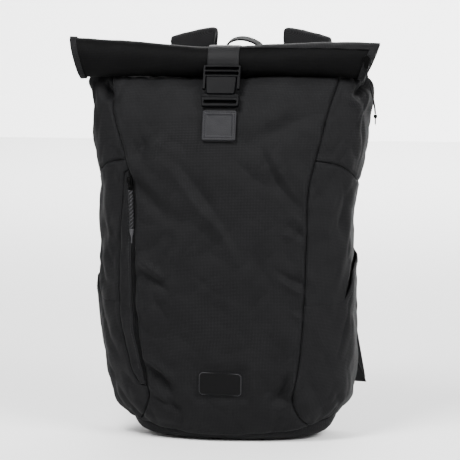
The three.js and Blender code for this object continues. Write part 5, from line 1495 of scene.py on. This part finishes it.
straps, strap_ends, strap_seams = {}, {}, {}
for side, word in ((-1, "left"), (1, "right")):
    centres, wides, thicks = strap_line_points(side)
    tilt = (math.cos(CREST_TILT), 0, -side * math.sin(CREST_TILT))
    strap = band(f"shoulder_strap_{word}_pad", centres, tilt, wides - 1.4, thicks - 1.0, 170, 56, 0.55, 0.35,
                 5 + side)
    straps[word] = swell(strap, STRAP_PUFF)
    outwards = np.array([unit(np.cross(way, tilt)) for way in np.gradient(centres, axis=0)])
    seam_line = (centres + outwards * (thicks + 0.5)[:, None])[2:]
    strap_seams[word] = band(f"strap_seam_{word}", seam_line, tilt, 1.1, 0.6, 150, 12)
    strap_ends[word] = (centres[-2], centres[-1])
print("shoulder straps:", sorted(straps))

# %% Ladder locks, lower webbing and cloth wings
NARROW_WEB, LOCK_HEIGHT, LOCK_THICK = 25.0, 16.0, 4.0
WING_REACH, WING_LOW, WING_HIGH, WING_BACK = 158.0, 0.102 * BODY_HEIGHT, 0.245 * BODY_HEIGHT, 72.0
locks, webs, wings = {}, {}, {}
for side, word in ((-1, "left"), (1, "right")):
    before, end = strap_ends[word]
    down = unit(end - before)
    across = unit(np.array([1.0, 0, 0]) - down * down[0])
    out = np.cross(down, across)
    lock_top, lock_low = end + down * GAP, end + down * (GAP + LOCK_HEIGHT)
    lock_place = axes_matrix(lock_top, across, -down, np.cross(across, -down))
    half = NARROW_WEB / 2 + RIM
    lock_outlines = [rounded(-half, -LOCK_HEIGHT, 2 * half, LOCK_HEIGHT, 2.4),
                     *slots_between_bars(-half, 2 * half, LOCK_HEIGHT, RIM)]
    locks[word] = shade_by_angle(
        plate(f"ladder_lock_{word}", lock_outlines, -LOCK_THICK / 2, LOCK_THICK / 2, 0.8, lock_place))
    wing_root, wing_high = [
        plain_point(around, up) + outward_at(around, up) * (GAP + CLOTH / 2 + float(fold_rise(around, up)))
        for up in (WING_LOW / BODY_HEIGHT, WING_HIGH / BODY_HEIGHT)
        for around in [around_at(back_across(side, up), up, True)]]
    wing_tip = np.array([side * WING_REACH, WING_BACK, WING_LOW + 8])
    web_end = mix(wing_root, wing_tip, 0.55)
    web_end = np.array([web_end[0], web_end[1] + CLOTH / 2 + GAP * 2.2 + WEB_THICK / 2, WING_LOW + 12])
    shift = out * (LOCK_THICK / 2 + GAP + WEB_THICK / 2)
    web_top, web_low = mix(lock_top, lock_low, 0.35) + shift, lock_low + shift
    web_middle = mix(web_low, web_end, 0.5) - [0, 2, 8]
    along_wing = unit((wing_tip - wing_root) * [1, 1, 0]) * side
    webs[word] = band(f"lower_webbing_{word}", [web_top, web_low, web_middle, web_end],
                      [(1, 0, 0), (1, 0, 0), (1, 0, 0), along_wing], NARROW_WEB / 2 - 0.3, WEB_THICK / 2, 90)
    wing_rows, wing_columns = grid_places(24, 24)
    tip_high = wing_tip + [-4 * side, 0, 12]
    low_edge = wing_root + wing_columns[..., None] * (wing_tip - wing_root)
    high_edge = wing_high + wing_columns[..., None] * (tip_high - wing_high)
    face = low_edge + wing_rows[..., None] * (high_edge - low_edge)
    billow = 0.8 * lattice_noise(wing_rows * 3, wing_columns * 3, 7)[..., None] * [0, 1, 0]
    half_cloth = np.array([0, 0.9, 0])
    wing_uvs = np.stack([wing_columns * 30, wing_rows * 55], -1)
    wings[word] = slab(f"cloth_wing_{word}", face + billow + half_cloth, face + billow - half_cloth, wing_uvs)
print("locks, webs and wings")

# %% Back pads as quilted cushions
PAD_THICK, PAD_WIDTH, PAD_SPREAD = 10.0, 76.0, 57.0
PAD_LOW, PAD_HIGH = 0.12 * BODY_HEIGHT, 0.859 * BODY_HEIGHT
QUILT_LINES, QUILT_DEPTH = 5, 3.0
pads = {}
for side, word in ((-1, "left"), (1, "right")):
    rise, share = grid_places(150, 44)
    aside, along = 2 * share - 1, 2 * rise - 1
    taper = 1 - 0.06 * along ** 2 - 0.12 * along ** 8
    up = mix(PAD_LOW, PAD_HIGH, rise) / BODY_HEIGHT
    x = side * PAD_SPREAD + aside * PAD_WIDTH / 2 * taper
    around = around_at(x, up, True)
    crown = (1 - aside ** 4) * (1 - along ** 12)
    proud = GAP + PAD_THICK * mix(0.3, 0.8, crown)
    base, outward = plain_point(around, up), outward_at(around, up)
    lifted = fold_rise(around, up)
    outer = base + outward * (lifted + proud)[..., None]
    inner = base + outward * (lifted + GAP)[..., None]
    cushion = slab(f"back_cushion_{word}", outer, inner, np.stack([x, up * BODY_HEIGHT], -1))
    pads[word] = swell(cushion, PAD_PUFF)
    # Quilting lines cross the pad every 64 mm and sink into the foam, once it is filled
    places = vertex_rows(pads[word].data)
    share = (places[:, 2] / MM - PAD_LOW) / (PAD_HIGH - PAD_LOW)
    across = np.abs(places[:, 0] / MM - side * PAD_SPREAD) / (PAD_WIDTH / 2)
    line = np.exp(-((((share * QUILT_LINES) % 1) - 0.5) / 0.04) ** 2)
    inside_ends = smooth(0.05, 0.12, share) * smooth(0.95, 0.88, share)
    facing_back = vertex_rows(pads[word].data, "normal")[:, 1]
    outside = smooth(0.2, 0.7, facing_back) * (1 - np.clip(across, 0, 1) ** 6)
    places[:, 1] -= QUILT_DEPTH * line * inside_ends * outside * MM
    pads[word].data.vertices.foreach_set("co", places.ravel())
print("pads:", PAD_WIDTH, "mm wide")

# %% The haul handle, a loop whose band turns on edge as it rises
HANDLE_WIDTH, HANDLE_THICK, HANDLE_CREST, HANDLE_LEAN = 20.0, 2.6, 1.076 * BODY_HEIGHT, 0.17
# Columns: across as a share of HALF_WIDTH, up as a share of HANDLE_CREST, turn in degrees
HANDLE_STATIONS = np.array([
    (-0.135, 0.797, 0), (-0.135, 0.828, 0), (-0.135, 0.862, 12), (-0.140, 0.915, 60), (-0.130, 0.955, 84),
    (-0.090, 0.988, 90), (-0.020, 1.000, 90), (0.075, 0.998, 90), (0.170, 0.982, 90), (0.222, 0.950, 96),
    (0.240, 0.905, 125), (0.238, 0.862, 168), (0.238, 0.828, 180), (0.238, 0.797, 180),
])
handle_line, handle_across = [], []
for across, up, turn in HANDLE_STATIONS:
    turn, height = math.radians(turn), up * HANDLE_CREST
    y = wall_back(height) + GAP + HANDLE_THICK / 2 + math.sin(turn) * HANDLE_WIDTH / 2
    handle_line.append((across * HALF_WIDTH, y, height))
    handle_across.append(unit(np.array([math.cos(turn), math.sin(turn), HANDLE_LEAN * math.sin(turn)])))
haul_handle = band("haul_handle_loop", handle_line, handle_across, HANDLE_WIDTH / 2 - 0.2, HANDLE_THICK / 2,
                   120)
print("handle crest at", round(HANDLE_CREST), "mm")

# %% [markdown]
# ## Stitches
# Stitches hold the leather patch, the pockets' hems and the strip beside the zip. Each seam's thread is a row
# of beads, one for every 2.9 mm on leather and 3.6 mm on cloth, much as bag makers set their machines.

# %% Stitches round the leather patch, along the pockets' hems and beside the zip
STITCH_INSET = 2.3
outline = np.array(rounded(
    -PATCH_WIDTH / 2 + STITCH_INSET, -PATCH_HEIGHT / 2 + STITCH_INSET, PATCH_WIDTH - 2 * STITCH_INSET,
    PATCH_HEIGHT - 2 * STITCH_INSET, 0.4, 8))
closed = np.concatenate([outline, outline[:1]])
steps = steps_along(closed)
places = np.linspace(0, steps[-1], 160)
stitch_x, stitch_y = np.interp(places, steps, closed[:, 0]), np.interp(places, steps, closed[:, 1])
patch_line = on_patch(stitch_x, stitch_y, np.full_like(stitch_x, PATCH_THICK - 0.25))
patch_stitches = beads("patch_stitches", [(patch_line, patch_out)], thread, 2.9, 2.2, 0.65, 0.5)
cloth_lines = []
for side in (-1, 1):
    share = np.linspace(0.42, 0.97, 90)
    up = mouth_up(share) - 8.5 / BODY_HEIGHT
    around = side_place(side, share, up)
    cloth_lines.append(line_on_skin(around, up, pocket_bulge(share, up) + 0.15))
up = np.linspace(STRIP_LOW + 0.05, STRIP_HIGH - 0.03, 160)
strip_line_x = seam_across(-1, up) - GAP - ZIP_WIDTH * strip_share(up) - 3.0
cloth_lines.append(line_on_skin(around_at(strip_line_x, up), up, 0.35))
cloth_stitches = beads("cloth_stitches", cloth_lines, thread, 3.6, 2.7, 0.55, 0.45)
print("stitches:", len(patch_stitches.data.polygons) + len(cloth_stitches.data.polygons), "faces")

# %% [markdown]
# ## Dressing the frame
# Each piece now gets its finish, rides on the bag's one body and stands for the CAD solids that it covers.

# %% Finish, body and the solids that each piece replaces
# Each row: the piece, its material, its slot, and the CAD solid that it replaces, if any
dressed = [
    (front_panel, shell_nylon, "shell_nylon", "front_panel"),
    (zip_strip, shell_nylon, "shell_nylon", "zip_strip"),
    (zip_tape, zip_knit, "zip_tape", "zip_tape"),
    (zip_coil, zip_knit, "zip_tape", None),
    (back_panel, mesh_fabric, "back_mesh", "back_panel"),
    (rear_top, shell_nylon, "shell_nylon", "rear_top"),
    (base_panel, base_nylon, "base_nylon", "base_panel"),
    (rolled_outer, shaded_roll_cloth, "shell_nylon", "rolled_top"),
    (rolled_inner, shaded_roll_cloth, "shell_nylon", None),
    (front_hem, shell_nylon, "shell_nylon", None),
    (left_hem, shell_nylon, "shell_nylon", None),
    (right_hem, shell_nylon, "shell_nylon", None),
    (upper_strap, webbing_nylon, "webbing", "closure_strap_upper"),
    (lower_strap, webbing_nylon, "webbing", "closure_strap_lower"),
    (buckle_male, acetal, "buckle_plastic", "buckle_male"),
    (buckle_female, acetal, "buckle_plastic", "buckle_female"),
    (leather_patch, leather, "patch_leather", "strap_patch"),
    (label_patch, rubber, "label_rubber", "label_patch"),
    (label_rim, pale_rubber_and_highlight, "label_rubber", None),
    (front_slider, zinc, "zip_metal", "front_zip_slider"),
    (top_slider, zinc, "zip_metal", "top_zip_slider"),
    (front_cord, braid, "pull_cord", "front_zip_cord"),
    (front_tip, pale_rubber_and_highlight, "pull_cord", "front_zip_tip"),
    (top_cord, zip_knit, "pull_cord", "top_zip_cord"),
    (top_tip, rubber, "pull_cord", "top_zip_tip"),
    # The haul handle takes the roll's darker cloth, whose colour is painted shade
    (haul_handle, shaded_roll_cloth, "webbing", "haul_handle"),
    (strap_seams["left"], thread, "webbing", None),
    (strap_seams["right"], thread, "webbing", None),
    (patch_stitches, thread, "webbing", None),
    (cloth_stitches, thread, "webbing", None),
]
for word in ("left", "right"):
    dressed += [(sides[f"{kind}_{word}"], shell_nylon, "shell_nylon", f"{kind}_{word}")
                for kind in ("side_upper", "side_lower", "bottle_pocket")]
    dressed += [
        (straps[word], shell_nylon, "back_mesh", f"shoulder_strap_{word}"),
        (locks[word], acetal, "buckle_plastic", f"strap_lock_{word}"),
        (webs[word], webbing_nylon, "webbing", f"strap_webbing_{word}"),
        (wings[word], shell_nylon, "shell_nylon", f"strap_wing_{word}"),
        (pads[word], mesh_fabric, "back_mesh", f"back_pad_{word}"),
    ]
triangles = 0
for piece, material, slot, replaced in dressed:
    piece.data.materials.clear()
    piece.data.materials.append(material)
    piece.data.calc_loop_triangles()
    triangles += len(piece.data.loop_triangles)
    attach(piece, "root")
    if replaced:
        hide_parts(replaced)
print("pieces:", len(dressed), "triangles:", triangles)

# %% [markdown]
# ## Floor and light
# The photograph is a product shot on white. A pale floor runs back to a glowing backdrop, a white world
# lights all round, and four softboxes stand above, behind and to both sides. Of the two at the sides, the
# right one is by far the stronger.

# %% White floor and soft lights
WHITE, FLOOR_DROP, GLOW, WORLD_LIGHT = "#f4f4f4", 0.0002, 1.95, 0.5
one_face = [(0, 1, 2, 3)]
floor_corners = [(-4000, -4000, 0), (4000, -4000, 0), (4000, 6000, 0), (-4000, 6000, 0)]
floor = make_object("floor", floor_corners, one_face)
floor.location.z = -FLOOR_DROP
floor.data.materials.append(finish("white_floor", WHITE, 0.9, 1.45)[0])
backdrop_corners = [(-6000, 5000, -1), (6000, 5000, -1), (6000, 5000, 6000), (-6000, 5000, 6000)]
backdrop = make_object("backdrop", backdrop_corners, one_face)
backdrop_paint, _, backdrop_shader = finish("lit_backdrop", WHITE, 0.9, 1.45, Emission_Strength=GLOW)
backdrop_shader.inputs["Emission Color"].default_value = (1, 1, 1, 1)
backdrop.data.materials.append(backdrop_paint)
world = bpy.data.worlds.new("studio")
world.use_nodes = True
world.node_tree.nodes["Background"].inputs["Color"].default_value = (1, 1, 1, 1)
world.node_tree.nodes["Background"].inputs["Strength"].default_value = WORLD_LIGHT
bpy.context.scene.world = world


def soft_light(name, place, aim, size, power):
    """A square softbox that points at a place, all in metres and watts."""
    light = put(name, bpy.data.lights.new(name, "AREA"))
    light.data.size = size
    light.data.energy = power
    point_at(light, place, Vector(aim) - Vector(place))


for softbox in (
    ("overhead", (-0.4, -0.85, 1.5), (0, 0, 0.35), 0.6, 46),
    ("behind", (0, 3.35, 2.0), (0, 3.2, 0), 3.0, 205),
    ("left", (-1.9, -1.2, 0.9), (0, 0, 0.25), 1.6, 3),
    ("right", (1.7, -1.25, 1.6), (0, 0, 0.36), 1.2, 90),
):
    soft_light(*softbox)
print("lights set")
